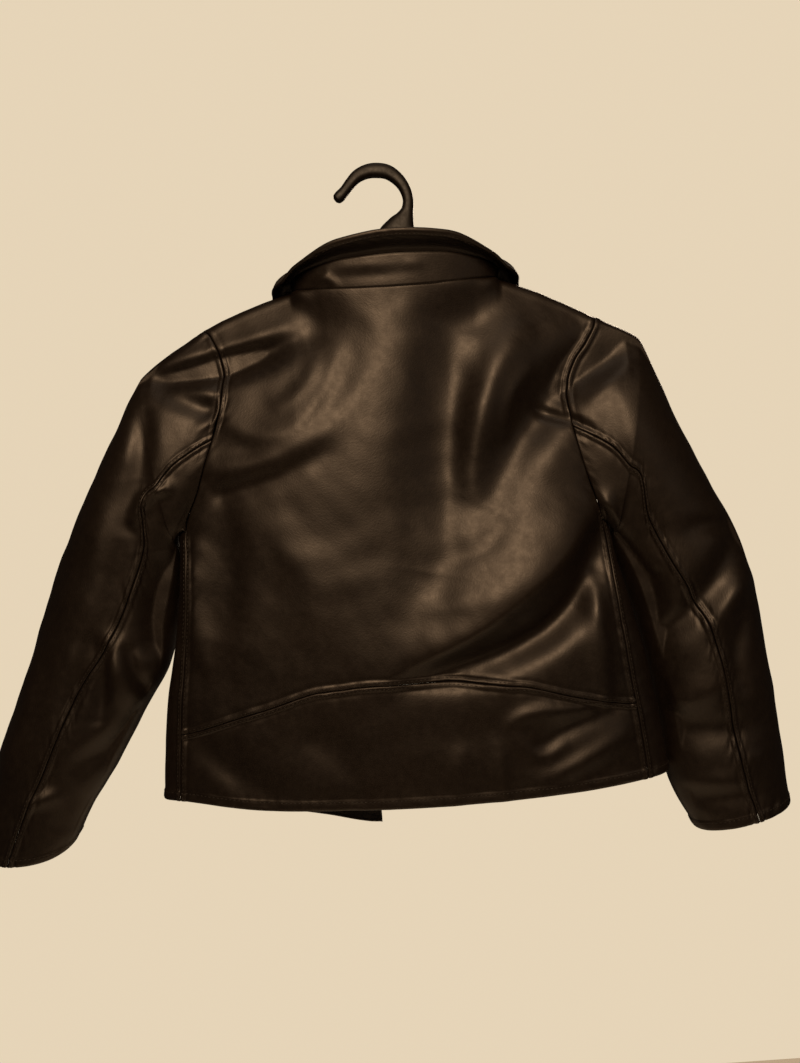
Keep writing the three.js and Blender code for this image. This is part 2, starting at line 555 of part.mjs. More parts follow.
// A closed bar through a table's rows: sections across the line, rounded by a superellipse.
function bar(rows, across, count, sides) {
  const line = new THREE.CatmullRomCurve3(
    rows.map((row) => new THREE.Vector3(row.x, 0, row.z)),
    false,
    "centripetal",
  );
  const shares = rows.map((row, i) => ({ ...row, share: i / (rows.length - 1) }));
  const points = [];
  for (let j = 0; j <= count; j += 1) {
    const t = j / count;
    const centre = line.getPoint(t);
    const ahead = line.getTangent(t);
    const aside = new THREE.Vector3(-ahead.z, 0, ahead.x);
    const halfWide = along(shares, "share", across, t) / 2;
    const halfDeep = along(shares, "share", "deep", t) / 2;
    for (let k = 0; k < sides; k += 1) {
      const turn = (2 * Math.PI * k) / sides;
      const bend = (value) => Math.sign(value) * Math.abs(value) ** (2 / BAR_POWER);
      const point = centre.clone().addScaledVector(aside, halfWide * bend(Math.cos(turn)));
      point.y += halfDeep * bend(Math.sin(turn));
      points.push(point);
    }
  }
  const faces = [];
  for (let j = 0; j < count; j += 1) {
    for (let k = 0; k < sides; k += 1) {
      const a = j * sides + k;
      const b = j * sides + ((k + 1) % sides);
      faces.push(a, b + sides, b, a, a + sides, b + sides);
    }
  }
  const first = points.length;
  points.push(line.getPoint(0), line.getPoint(1));
  for (let k = 0; k < sides; k += 1) {
    const next = (k + 1) % sides;
    faces.push(first, k, next);
    faces.push(first + 1, count * sides + next, count * sides + k);
  }
  const geometry = new THREE.BufferGeometry().setFromPoints(points);
  geometry.setIndex(faces);
  return geometry;
}

function solidOf(geometry) {
  const merged = mergeVertices(geometry, 1e-4);
  return new wasm.Manifold(
    new wasm.Mesh({
      numProp: 3,
      vertProperties: merged.attributes.position.array,
      triVerts: new Uint32Array(merged.index.array),
    }),
  );
}

function hanger() {
  const hook = solidOf(bar(HOOK_LINE, "wide", BAR_STEPS, BAR_SIDES));
  const arms = solidOf(bar(ARM_LINE, "tall", BAR_STEPS, BAR_SIDES));
  const made = hook.add(arms).getMesh();
  const geometry = new THREE.BufferGeometry();
  geometry.setAttribute("position", new THREE.BufferAttribute(made.vertProperties, made.numProp));
  geometry.setIndex(new THREE.BufferAttribute(made.triVerts, 1));
  geometry.computeVertexNormals();
  const mesh = new THREE.Mesh(geometry, new THREE.MeshStandardMaterial(PLASTIC_LOOK));
  mesh.name = "hanger";
  return mesh;
}

const jacket = new THREE.Group();
jacket.add(hanger());
jacket.add(backPanel(), backHemBand(), front("left"), front("right"));
jacket.add(...collar());
jacket.add(...sleeve("left"), ...sleeve("right"));
export default jacket;
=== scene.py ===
import math

import bpy
import numpy as np
from mathutils import Matrix, Vector


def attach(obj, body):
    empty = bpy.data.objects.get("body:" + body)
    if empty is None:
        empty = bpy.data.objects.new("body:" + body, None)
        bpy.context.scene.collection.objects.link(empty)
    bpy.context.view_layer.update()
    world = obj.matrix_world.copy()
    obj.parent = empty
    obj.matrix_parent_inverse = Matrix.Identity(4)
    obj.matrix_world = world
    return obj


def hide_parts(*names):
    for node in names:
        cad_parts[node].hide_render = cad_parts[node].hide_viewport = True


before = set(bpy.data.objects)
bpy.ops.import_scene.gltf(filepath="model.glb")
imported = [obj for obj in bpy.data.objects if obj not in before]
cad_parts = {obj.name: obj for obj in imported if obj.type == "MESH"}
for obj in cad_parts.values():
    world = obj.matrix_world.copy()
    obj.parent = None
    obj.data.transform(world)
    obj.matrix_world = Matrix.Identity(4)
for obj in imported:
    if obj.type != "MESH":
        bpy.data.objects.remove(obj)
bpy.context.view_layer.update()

MM = 0.001

# Driving dimensions of the garment
CLOTH = 1.3  # thickness of the faux leather
ALLOWANCE = 1.1  # extra thickness of the turned cloth behind each edge
ALLOWANCE_WIDE = 10.0
SHOULDER_RADIUS = 9.0
SHOULDER_FALL = 150.0
NECK_X, NECK_HALF_WIDTH, NECK_Z = 8.5, 88.5, -94.0
NECK_BACK, NECK_BACK_DROP = 30.0, 8.0
NECK_FRONT, NECK_FRONT_DROP = 28.0, 84.0
NECK_FRONT_POWER = 0.9
NECK_FADE = 45.0  # length below the neck seam over which its roundness softens
NECK_ROUND = (0.5, 2.0)  # how round it is across, at the seam and below that length
NECK_EDGE = 0.72  # share of its half width from which the shoulder's ridge takes over
BODY_TOP, BODY_HEM = -128.0, -520.0
BODY_POWER = 2.5
SIDES = ("left", "right")
SIGN = {"left": -1, "right": 1}
UNDERARM = {"left": -291.0, "right": -306.0}
FRONT_EDGE = {"left": -171.0, "right": 173.0}
FRONT_ARMHOLE_RISE = 46.0
SIDE_BAND_LEVEL = {"left": -463.0, "right": -457.0}
HANGER_CLEAR = 9.0  # folds never bring the cloth nearer than this to the hanger's middle plane

# Grids: fine steps beside an edge, wider ones between
EDGE_ZONE, EDGE_STEP = 9.6, 0.8
SHOWN_STEP, HIDDEN_STEP = 2.1, 2.7


def table(names, *rows):
    """A table as one array for each named column."""
    return dict(zip(names.split(), np.array(rows, float).T))


# The shoulder line: z of the fold over the hanger.
SHOULDER = table(
    "x z",
    (-230, -165), (-211, -154), (-190, -140), (-161, -123), (-128, -109), (-95, -98), (-80, -94),
    (8, -80), (97, -95), (115, -102), (146, -116), (177, -133), (211, -151), (230, -162),
)
# The body's middle, outline and depths at each level.
BODY = table(
    "level middle left right back front",
    (-128, 8, -290, 306, 30, 27),
    (-160, 6, -272, 284, 31, 28),
    (-200, 2, -238, 240, 33, 30),
    (-250, -5, -204, 190, 35, 32),
    (-291, -7, -191, 173, 36, 33),
    (-325, -7, -192, 178, 37, 34),
    (-369, -5, -197, 189.5, 38, 35),
    (-430, -4, -209, 202, 38, 35),
    (-480, -3, -215, 209, 38, 35),
    (-520, -3, -218, 212, 38, 35),
)
# The back's side edges: the armhole down to the underarm, then the side seam.
BACK_EDGE = table(
    "level left right",
    (-128, -161, 177), (-142, -151, 174), (-160, -144, 166), (-180, -141, 155), (-200, -143, 148),
    (-220, -149, 146), (-240, -157, 148), (-266, -168, 154), (-291, -181, 162), (-306, -182, 167.5),
    (-325, -182, 171.5), (-369, -185, 175), (-430, -192, 181), (-480, -197, 186.5), (-520, -200, 190),
)
# The curved seam above the hem band, and the hem, all round.
BAND_SEAM = table(
    "turn level",
    (-90, -463), (-66, -463), (-37, -446), (-21, -434), (-7, -428), (8, -428),
    (18, -433), (31, -442), (43, -450), (62, -457), (90, -457),
)
HEM = table(
    "turn z",
    (-190, -564), (-171, -562), (-157, -551), (-137, -537), (-114, -524), (-90, -516), (-67, -515),
    (-29, -525), (5, -529), (33, -527), (70, -522), (90, -521), (114, -524), (137, -531),
    (157, -538), (173, -544), (190, -546),
)
# Sleeve rings: outer and inner points, half depth, middle, inner end's middle, sag and hindarm seam.
SLEEVE_COLUMNS = "at out_x out_z in_x in_z deep ahead in_ahead sag seam"
SLEEVE = {
    "left": table(
        SLEEVE_COLUMNS,
        (0, -161, -123, -181, -291, 28, 0, -15, 0, 102.86),
        (0.07, -190, -140, -194, -295, 30, 1, -14, 0, 105),
        (0.13, -211, -154.5, -192.5, -301, 31, 2, -6, 0, 109),
        (0.21, -236, -198, -190.5, -315, 33, 3, 6, 0, 97),
        (0.3, -261, -242, -192, -336, 34, 4, 11, 0, 109),
        (0.43, -293, -306, -198, -370, 35, 5, 14, 1, 106),
        (0.53, -312, -353, -208, -404, 35, 6, 6, 2, 99),
        (0.63, -330, -400, -230, -439, 34, 6, 6, 4, 90),
        (0.78, -357, -463, -260, -487, 32, 6, 6, 8, 88.5),
        (0.9, -374, -508, -284, -522, 31, 6, 6, 12, 86),
        (1, -387, -540, -298, -546, 30, 6, 6, 16, 85),
    ),
    "right": table(
        SLEEVE_COLUMNS,
        (0, 177, -133, 166, -306, 28, 0, -15, 0, 102.86),
        (0.07, 198, -144, 178.5, -311, 30, 1, -14, 0, 105),
        (0.13, 211, -151, 179, -317, 31, 2, -6, 0, 110),
        (0.21, 228, -191, 179, -329, 33, 3, 6, 0, 101),
        (0.3, 244, -232, 183.5, -346, 34, 4, 11, 0, 109),
        (0.42, 266, -281, 190.5, -370, 35, 5, 14, 1, 106),
        (0.53, 289, -330, 197.5, -402, 35, 6, 14, 2, 99),
        (0.61, 297, -364, 203, -430, 34, 6, 14, 3, 92),
        (0.76, 305, -430, 210, -478, 33, 6, 14, 2, 88),
        (0.9, 311, -498, 216, -533, 31, 6, 11, 1, 86),
        (1, 316, -556, 234, -575, 30, 6, 6, 0, 85),
    ),
}
FRONT_SLEEVE_SEAM = 360 - 8 * 180 / 14  # the sleeve's turn at its seam on the front
HEAD_END, HEAD_EASE = 0.14, 1.6  # share of the sleeve that is its head, and how the head leaves the armhole
HEAD_START = 0.5  # where the head's first ring lies, as a share of HEAD_END
SLEEVE_POWER = 2.1
ARMHOLE_BLEND = 34  # length over which a sleeve's folds take over from the body's

# Collar sections: out and up of the stand's top, the flare and the lip, and how far ahead each lies.
COLLAR = table(
    "turn stand_out stand_up flare_out flare_up lip_out lip_up lift",
    (-156, 1, 5, 24, 6, 34, -18, 7),
    (-130, 1, 7, 22, 8, 32, -20, 8),
    (-110, 1, 10, 18, 14, 24, -12, 9),
    (-90, 1, 8, 12, 11, 15.5, -1, 2),
    (-64, 2, 13, 14, 12, 16, 4.5, 0),
    (-50, 3, 17, 16, 16, 18, 14.5, 0),
    (-24, 4, 24, 18, 26, 20, 34, 0),
    (0, 4, 26, 18, 30, 20, 39.5, 0),
    (24, 4, 24, 18, 27, 20, 35, 0),
    (50, 3, 17, 16, 16, 18, 14.5, 0),
    (64, 2, 13, 14, 11, 16, 4, 0),
    (90, 1, 8, 12, 10, 16, -3, 2),
    (110, 1, 10, 18, 13, 24, -14, 9),
    (130, 1, 7, 22, 7, 32, -22, 8),
    (156, 1, 5, 24, 6, 34, -18, 7),
)
COLLAR_END = {"left": -147.0, "right": 155.0}
STAND_LIFT, LEAF_RISE = 0.4, 0.25  # the stand's share of the lift, and how far the leaf goes on rising
STAND_CLIMB, LEAF_CLIMB = (-0.08, 1.04), (1, 2)
COLLAR_ACROSS, STAND_DOWN, LEAF_DOWN = 260, 26, 44  # points of the grids
COLLAR_LUMPS = 0.4

# Folds. Each runs through three places (x, z) with its height there: a ridge if above 0, a trough if below.
# left and right are its half widths to either side of the way it runs.
FOLD_COLUMNS = "x0 z0 h0 x1 z1 h1 x2 z2 h2 left right"
SHOULDER_FOLDS = table(  # across the armholes, on the back and both sleeves
    FOLD_COLUMNS,
    (-203, -163, -4, -150, -156, -12, -71, -137, -1.5, 10, 14),  # under the left end of the hanger
    (-186, -154, 1, -143, -144, 1.5, -91, -129, 0.5, 8, 8),
    (199, -168, -5, 137, -194, -13, 70, -288, -4, 20, 22),  # the long arc from the right shoulder
    (166, -205, 1, 182, -190, 2, 198, -176, 1.5, 7, 8),
)
BACK_FOLDS = table(
    FOLD_COLUMNS,
    (-134, -206, 2.5, -84, -212, 3.5, -46, -152, 1.5, 16, 11),  # sweeping up from the left armhole
    (-149, -242, 2.5, -84, -231, 3, -26, -182, 0.8, 12, 14),
    (-93, -194, 0.8, -71, -176, 1.2, -60, -149, 0.5, 8, 7),
    (-146, -262, -2.5, -108, -254, -2.5, -62, -236, -1, 9, 10),
    (47, -144, -5, 42, -240, -11, 26, -340, -3, 24, 36),  # down the middle
    (18, -352, -2, 0, -388, -2.5, -24, -417, -1, 20, 22),
    (106, -148, 2, 72, -206, 4, 60, -272, 2, 14, 14),
    (114, -178, 0.8, 98, -200, 1.5, 90, -230, 0.8, 6, 7),
    (159, -296, 6, 86, -368, 11, -23, -420, 3, 12, 36),  # the long drape under the right arm
    (161, -318, -6, 113, -392, -12, 2, -424, -3, 15, 12),
    (152, -351, 2.5, 157, -392, 3.5, 157, -454, 2, 8, 11),
    (-176, -309, 2.5, -180, -351, 3.5, -174, -398, 1.5, 12, 9),
    (-148, -275, -2, -145, -322, -3.5, -158, -384, -1.5, 15, 20),
    (118, -208, -1.5, 133, -216, -3.5, 148, -221, -2, 5, 5),
    (12, -381, -0.5, 33, -378, -1, 54, -376, -0.5, 9, 11),
    (88, -300, -1, 62, -322, -1.6, 30, -334, -0.6, 10, 12),
    (-100, -300, 1.2, -76, -352, 1.8, -84, -412, 0.8, 18, 16),
    (-181, -462, -0.8, -152, -492, -1.8, -121, -514, -1.2, 13, 13),  # on the hem band
    (-196, -480, 0.6, -174, -494, 1, -146, -509, 0.6, 11, 11),
    (98, -490, -1.5, 124, -475, -3.5, 162, -462, -2, 9, 9),
    (106, -512, 1.5, 132, -503, 3.5, 168, -486, 2, 9, 10),
    (79, -466, 1.5, 102, -458, 2.5, 143, -462, 1.5, 6, 9),
    (82, -480, 1, 98, -494, 2, 118, -488, 1, 6, 6),
    (34, -490, 1, 31, -505, 1.8, 28, -525, 1, 8, 8),
    (66, -486, 1, 67, -501, 1.8, 67, -525, 1, 8, 8),
    (-80, -470, -1, -60, -492, -1.6, -58, -524, -1, 14, 14),
)
FRONT_FOLDS = table(
    FOLD_COLUMNS,
    (-196, -163, -4, -135, -160, -7, -74, -150, -1.5, 9, 12),
    (196, -160, -4, 128, -164, -7, 66, -158, -1.5, 12, 9),
    (-150, -236, 2.5, -104, -236, 4, -62, -200, 1, 12, 11),
    (150, -248, 3, 112, -242, 4, 70, -196, 1, 11, 12),
    (-168, -300, 5, -118, -376, 8, -62, -436, 3, 30, 12),
    (166, -314, 5, 104, -372, 8, 66, -420, 3, 12, 28),
    (-150, -330, -3, -108, -398, -6, -60, -452, -2, 11, 11),
    (160, -340, -3, 112, -396, -5, 74, -440, -2, 12, 10),
    (-46, -240, 2, -40, -350, 3, -44, -470, 2, 12, 16),
    (52, -230, 2, 44, -340, 3, 46, -450, 2, 16, 12),
    (-170, -430, -2, -140, -480, -3.5, -110, -520, -2, 12, 12),
    (176, -420, -2, 150, -470, -3.5, 118, -512, -2, 12, 12),
    (-92, -290, -1.5, -84, -340, -2.5, -90, -400, -1, 10, 10),
    (88, -286, -1.5, 80, -330, -2.2, 84, -380, -1, 10, 10),
)
SLEEVE_BACK_FOLDS = {
    "left": table(
        FOLD_COLUMNS,
        (-189, -179, -1.5, -166, -187, -3, -146, -198, -2, 8, 9),
        (-176, -171, 1, -156, -176, 1.6, -142, -185, 1, 6, 7),
        (-209, -184, -1.5, -208, -212, -4, -212, -246, -1.5, 9, 10),
        (-222, -190, 0.6, -234, -262, 3, -256, -340, 1.6, 15, 28),
        (-222, -246, -2, -234, -312, -4, -252, -380, -2.5, 14, 16),
        (-263, -381, -3, -275, -410, -4, -288, -436, -2, 8, 9),
        (-203, -306, -2, -206, -342, -8, -214, -380, -6, 13, 17),
        (-219, -279, 3, -206, -262, 5, -190, -256, 2.5, 7, 5),
        (-228, -296, 1, -228, -331, 1.5, -224, -371, 1, 8, 10),
        (-247, -382, 1.5, -240, -413, 3, -228, -434, 2, 9, 11),
        (-253, -389, -2.5, -257, -417, -4, -263, -441, -2, 6, 7),
        (-234, -388, -2.5, -231, -407, -3.5, -224, -424, -2, 5, 5),
        (-226, -443, -3, -246, -461, -6, -279, -478, -2.5, 11, 9),
        (-330, -512, 1.5, -317, -506, 2.5, -305, -503, 1.5, 6, 7),
        (-300, -488, -1.5, -292, -505, -2.5, -300, -528, -1.5, 10, 10),
        (-318, -400, 1.5, -330, -436, 2.5, -346, -476, 1.5, 12, 14),
    ),
    "right": table(
        FOLD_COLUMNS,
        (168, -296, 3.5, 184, -317, 5.5, 204, -347, 3, 9, 6),
        (172, -312, -5, 196, -350, -9, 203, -396, -5, 13, 11),
        (203, -402, 1.5, 214, -392, 2.5, 224, -383, 1.5, 7, 7),
        (276, -332, -3, 246, -372, -6.5, 206, -411, -4, 13, 12),
        (206, -455, 2.5, 229, -459, 5, 256, -438, 2.5, 22, 12),
        (254, -397, 2, 271, -374, 3.5, 285, -361, 1.5, 8, 11),
        (208, -478, -2, 241, -486, -3.5, 283, -481, -1.5, 13, 14),
        (218, -531, 1, 243, -530, 1.6, 267, -528, 0.8, 8, 8),
        (266, -515, 0.8, 278, -513, 1.2, 291, -511, 0.8, 8, 8),
        (222, -545, -1, 250, -544, -1.5, 280, -541, -1, 8, 8),
        (186, -184, 0.6, 197, -244, 3, 213, -304, 1.2, 24, 13),
        (240, -318, -1.5, 262, -316, -3, 280, -322, -1.5, 8, 9),
        (276, -400, -1.5, 268, -428, -3, 272, -452, -1.5, 8, 8),
    ),
}
SLEEVE_FRONT_FOLDS = {
    side: table(
        FOLD_COLUMNS,
        (sign * 226, -220, 2, sign * 240, -280, 4, sign * 252, -330, 2, 12, 14),
        (sign * 212, -300, -4, sign * 222, -350, -7, sign * 226, -394, -3, 12, 12),
        (sign * 280, -340, -2, sign * 250, -376, -5, sign * 226, -402, -3, 11, 11),
        (sign * 232, -430, 3, sign * 256, -428, 5, sign * 286, -412, 2, 12, 9),
        (sign * 300, -440, -1.5, sign * 276, -466, -4, sign * 250, -476, -2, 10, 10),
    )
    for side, sign in SIGN.items()
}
STAND_FOLDS = table(
    FOLD_COLUMNS,
    (-46, -83, 0.2, -21, -84, 0.6, 6, -85, 0.2, 5, 6),
    (-22, -77, 0.2, -15, -75, 0.5, -8, -72, 0.2, 4, 4),
    (-55, -89, 0.5, -44, -94, 0.9, -39, -102, 0.5, 4, 4),
    (-66, -98, 0.4, -52, -92, 0.8, -47, -85, 0.4, 4, 4),
    (16, -84, 0.2, 24, -85, 0.5, 32, -84, 0.2, 5, 5),
    (-36, -90, -0.2, -10, -92, -0.5, 20, -92, -0.2, 5, 5),
)
NO_FOLDS = table(FOLD_COLUMNS, (0, 0, 0, 1, 1, 0, 2, 2, 0, 1, 1))
BODY_FOLDS = (SHOULDER_FOLDS, BACK_FOLDS), (FRONT_FOLDS,)
FOLD_STEPS = 20
FOLD_REACH = 3  # half widths beyond which a fold isn't felt
FOLD_DEPTH = 1.25  # how far the tables' heights are taken
FOLD_CRISP = 2.0  # 2 gives rounded folds, less gives crisper ones
FOLD_FADE = (0.05, 0.34)  # share of facing backwards over which folds fade towards the silhouettes
RIDGE_ROOM = (2, 10)  # distance from the hanger's middle plane over which ridges gain their height


def mix(a, b, share):
    return a + (b - a) * share


def smooth(value, low, high):
    share = np.clip((value - low) / (high - low), 0, 1)
    return share * share * (3 - 2 * share)


def fade(value, low, high):
    return 1 - smooth(value, low, high)


def bell(value, middle, wide):
    return np.exp(-(((value - middle) / wide) ** 2))


def along(rows, key, column, at):
    """Slope-limited cubic through a table's rows, keyed by one column."""
    x, y = rows[key], rows[column]
    if x[0] > x[-1]:
        x, y = x[::-1], y[::-1]
    step = np.diff(y) / np.diff(x)
    before, after = step[:-1], step[1:]
    alike = before * after > 0
    middle = np.where(alike, 2 * before * after / np.where(alike, before + after, 1), 0)
    slope = np.concatenate([step[:1], middle, step[-1:]])
    t = np.clip(at, x[0], x[-1])
    i = np.clip(np.searchsorted(x, t) - 1, 0, len(x) - 2)
    wide = x[i + 1] - x[i]
    u = (t - x[i]) / wide
    rise = u * u * (3 - 2 * u)
    bend = slope[i] * u * (1 - u) ** 2 - slope[i + 1] * u * u * (1 - u)
    return mix(y[i], y[i + 1], rise) + wide * bend


def joined(*parts):
    return np.stack(np.broadcast_arrays(*parts), axis=-1)


# Surfaces


def neck_drop(is_back, opening):
    """How far the neck seam lies below its ends; opening is 0 at an end and 1 in the middle."""
    return np.where(is_back, NECK_BACK_DROP * opening, NECK_FRONT_DROP * opening**NECK_FRONT_POWER)


def body_point(turn, level):
    """A point of the body: turn in degrees from the centre back, level in mm at the sides."""
    turn, level = np.broadcast_arrays(np.asarray(turn, float), np.asarray(level, float))
    across = np.sin(np.radians(turn))
    middle = along(BODY, "level", "middle", level)
    edge = np.where(across < 0, along(BODY, "level", "left", level), along(BODY, "level", "right", level))
    x = middle + np.abs(edge - middle) * across
    is_back = np.abs(turn) <= 90
    full = np.where(is_back, along(BODY, "level", "back", level), along(BODY, "level", "front", level))
    depth = full * np.maximum(1 - np.abs(across) ** BODY_POWER, 0) ** (1 / BODY_POWER)
    off = np.minimum(np.abs(x - NECK_X) / NECK_HALF_WIDTH, 1)
    opening = 1 - off * off
    neck_share = fade(off, NECK_EDGE, 1)
    shoulder = along(SHOULDER, "x", "z", x)
    top = np.where(off < 1, np.minimum(shoulder, NECK_Z) - neck_drop(is_back, opening), shoulder)
    quarter = SHOULDER_RADIUS * math.pi / 2
    share = (BODY_TOP - level) / (BODY_TOP - BODY_HEM)
    length = top - along(HEM, "turn", "z", turn) + (1 - neck_share) * (quarter - SHOULDER_RADIUS)
    run = share * length
    bend = np.clip(run / SHOULDER_RADIUS, 0, math.pi / 2)
    ridge_drop = SHOULDER_RADIUS * (1 - np.cos(bend)) + np.maximum(run - quarter, 0)
    drop = mix(ridge_drop, run, neck_share)
    neck_power = mix(*NECK_ROUND, smooth(run, 0, NECK_FADE))
    neck_depth = np.where(is_back, NECK_BACK, NECK_FRONT) * opening**neck_power
    swell = lambda distance: 1 - (1 - np.clip(distance / SHOULDER_FALL, 0, 1)) ** 2
    spread = np.maximum(depth - neck_depth, 0)
    on_ridge = np.minimum(SHOULDER_RADIUS, spread) * np.sin(bend)
    from_ridge = on_ridge + np.maximum(spread - SHOULDER_RADIUS, 0) * swell(run - quarter)
    out = neck_depth + mix(from_ridge, spread * swell(run), neck_share)
    return joined(x, np.where(is_back, -out, out), top - drop)


def back_turn(side, level):
    """The turn of the back's side edge at a level."""
    middle = along(BODY, "level", "middle", level)
    reach = along(BODY, "level", side, level) - middle
    edge = along(BACK_EDGE, "level", side, level) - middle
    return SIGN[side] * np.degrees(np.arcsin(np.clip(edge / reach, 0, 1)))


def front_turn(side, level):
    """The turn of a front's outer edge: the side seam, then under the arm and up the front armhole."""
    seam = back_turn(side, level)
    rise = np.clip((level - UNDERARM[side]) / FRONT_ARMHOLE_RISE, 0, 1)
    round_share = 1 - (1 - rise) ** 3
    risen = mix(back_turn(side, UNDERARM[side]), SIGN[side] * 180 - seam, round_share)
    return np.where(level <= UNDERARM[side], seam, risen)


def armhole_place(side, turn):
    """The body's turn and level at a turn round the armhole: 0 on the shoulder, 90 on the back."""
    level = mix(BODY_TOP, UNDERARM[side], (1 - np.cos(np.radians(turn))) / 2)
    return np.where(turn <= 180, back_turn(side, level), front_turn(side, level)), level


def ring_point(side, turn, at):
    """A point of a sleeve's ring: turn 0 at its outer side, 90 on the back, 180 at its inner side."""
    pick = lambda column: along(SLEEVE[side], "at", column, at)
    cos = np.cos(np.radians(turn))
    is_back = np.sin(np.radians(turn)) >= 0
    in_share = (1 - cos) / 2
    around = np.maximum(1 - np.abs(cos) ** SLEEVE_POWER, 0) ** (1 / SLEEVE_POWER)
    middle = mix(pick("ahead"), pick("in_ahead"), in_share * in_share)
    return joined(
        mix(pick("out_x"), pick("in_x"), in_share),
        middle + np.where(is_back, -1, 1) * pick("deep") * around,
        mix(pick("out_z"), pick("in_z"), in_share) - np.where(is_back, pick("sag") * around, 0),
    )


def sleeve_point(side, turn, at):
    """A point of a sleeve: its head leaves the armhole for the rings, which take over at HEAD_END."""
    share = np.clip(at / HEAD_END, 0, 1)
    head_ring = ring_point(side, turn, HEAD_END * mix(HEAD_START, 1, share))
    hole = body_point(*armhole_place(side, turn))
    leave = (1 - (1 - share) ** HEAD_EASE)[..., None]
    return np.where((at >= HEAD_END)[..., None], ring_point(side, turn, at), mix(hole, head_ring, leave))


def collar_point(turn, climb):
    """A point of the collar: climb 0 to 1 is the stand, 1 to 2 the leaf."""
    pick = lambda column: along(COLLAR, "turn", column, turn)
    sin, cos = np.sin(np.radians(turn)), np.cos(np.radians(turn))
    is_back = cos >= 0
    deep = np.where(is_back, -NECK_BACK, -NECK_FRONT) * cos
    seam = joined(NECK_X + NECK_HALF_WIDTH * sin, deep, NECK_Z - neck_drop(is_back, cos * cos))
    ahead = np.abs(turn) > 90
    away, behind = np.where(ahead, np.sign(turn), sin), np.where(ahead, 0, -cos)
    place = lambda out, up, lift: seam + joined(out * away, out * behind + lift, up)
    lift = pick("lift")
    stand = place(pick("stand_out"), pick("stand_up"), STAND_LIFT * lift)
    rise = stand + LEAF_RISE * (stand - seam)
    flare = place(pick("flare_out"), pick("flare_up"), lift)
    lip = place(pick("lip_out"), pick("lip_up"), lift)
    t = np.clip(climb - 1, 0, 1)[..., None]
    leaf = (1 - t) ** 3 * stand + 3 * t * (1 - t) ** 2 * rise + 3 * t * t * (1 - t) * flare + t**3 * lip
    return np.where((climb <= 1)[..., None], mix(seam, stand, climb[..., None]), leaf)


# Folds and unevenness


def fold_field(folds, x, z):
    """The height of a table's folds at places (x, z): soft ridges and troughs along bent lines."""
    total = np.zeros_like(x)
    t = np.linspace(0, 1, FOLD_STEPS + 1)
    through = lambda a, b, c: a * (1 - t) * (1 - 2 * t) + b * 4 * t * (1 - t) + c * t * (2 * t - 1)
    for row in zip(*(folds[name] for name in FOLD_COLUMNS.split())):
        x0, z0, h0, x1, z1, h1, x2, z2, h2, left, right = row
        line_x, line_z, line_h = through(x0, x1, x2), through(z0, z1, z2), through(h0, h1, h2)
        reach = FOLD_REACH * max(left, right)
        near = (x > line_x.min() - reach) & (x < line_x.max() + reach)
        near &= (z > line_z.min() - reach) & (z < line_z.max() + reach)
        if not near.any():
            continue
        px, pz = x[near], z[near]
        best = np.full(px.shape, np.inf)
        high, turned = np.zeros(px.shape), np.zeros(px.shape)
        for k in range(FOLD_STEPS):
            sx, sz = line_x[k + 1] - line_x[k], line_z[k + 1] - line_z[k]
            step = math.hypot(sx, sz)
            share = np.clip(((px - line_x[k]) * sx + (pz - line_z[k]) * sz) / step**2, 0, 1)
            dx, dz = px - line_x[k] - share * sx, pz - line_z[k] - share * sz
            gap = np.hypot(dx, dz)
            nearer = gap < best
            best = np.where(nearer, gap, best)
            high = np.where(nearer, mix(line_h[k], line_h[k + 1], share), high)
            turned = np.where(nearer, (sx * dz - sz * dx) / (step * np.maximum(gap, 1e-6)), turned)
        wide = mix(right, left, (1 + turned) / 2)
        total[near] += FOLD_DEPTH * high * np.exp(-((best / wide) ** FOLD_CRISP))
    return total


def fold_shift(base, facing_back, back_folds, front_folds):
    """How folds move a surface along Y, as vectors, and their height."""
    x, y, z = np.moveaxis(base, -1, 0)
    sign = np.where(facing_back > 0, -1.0, 1.0)
    high = np.zeros_like(x)
    for folds in back_folds:
        high += smooth(facing_back, *FOLD_FADE) * fold_field(folds, x, z)
    for folds in front_folds:
        high += smooth(-facing_back, *FOLD_FADE) * fold_field(folds, x, z)
    out = sign * y
    high = high * np.where(high > 0, smooth(out, *RIDGE_ROOM), 1)
    moved = np.maximum(out + high, np.minimum(out, HANGER_CLEAR))
    return joined(0 * x, sign * (moved - out), 0 * x), moved - out


def uneven(points, size, seed):
    """Soft seeded unevenness of about -1 to 1, in crossed waves about size mm long."""
    draw = np.random.default_rng(seed)
    total = np.zeros(points.shape[:-1])
    waves = 9
    for _ in range(waves):
        way, sway = draw.normal(size=3), draw.normal(size=3)
        wave = 2 * math.pi / (size * draw.uniform(0.7, 1.6))
        bent = 0.9 * np.sin(points @ sway / (size * 0.8))
        total += np.sin(points @ (way / np.linalg.norm(way)) * wave + draw.uniform(0, 2 * math.pi) + bent)
    return total / math.sqrt(waves)


# Sewing: relief beside an edge, in mm, from the distance to that edge

SEAM_RISE, SEAM_WIDE, SEAM_STITCH = 0.75, 3.7, 2.6
HEM_RISE, HEM_WIDE, HEM_STITCH, HEM_ROLL = 0.55, 7.4, 6.2, 0.5
LIP_RISE, LIP_WIDE, LIP_STITCH, LIP_ROLL = 0.45, 4.6, 4.2, 0.4
GROOVE = 0.3  # depth of a seam below the cloth
TUCK = 1.2  # how far an edge lies behind the one that covers it
DIMPLE, DIMPLE_WIDE = 0.22, 0.55  # along a row of stitches
PULL, PULL_AWAY, PULL_WIDE = 0.25, 2, 1.8  # the hollow beside a seam's ridge
PUCKER, PUCKER_SIZE, PUCKER_WIDE = 0.3, 9, 6.5
SEAM_DARK = 0.8  # width of the darker line in a seam
UNEVEN = ((0.5, 52, 3), (0.14, 21, 4))  # height, size and seed of the cloth's own unevenness
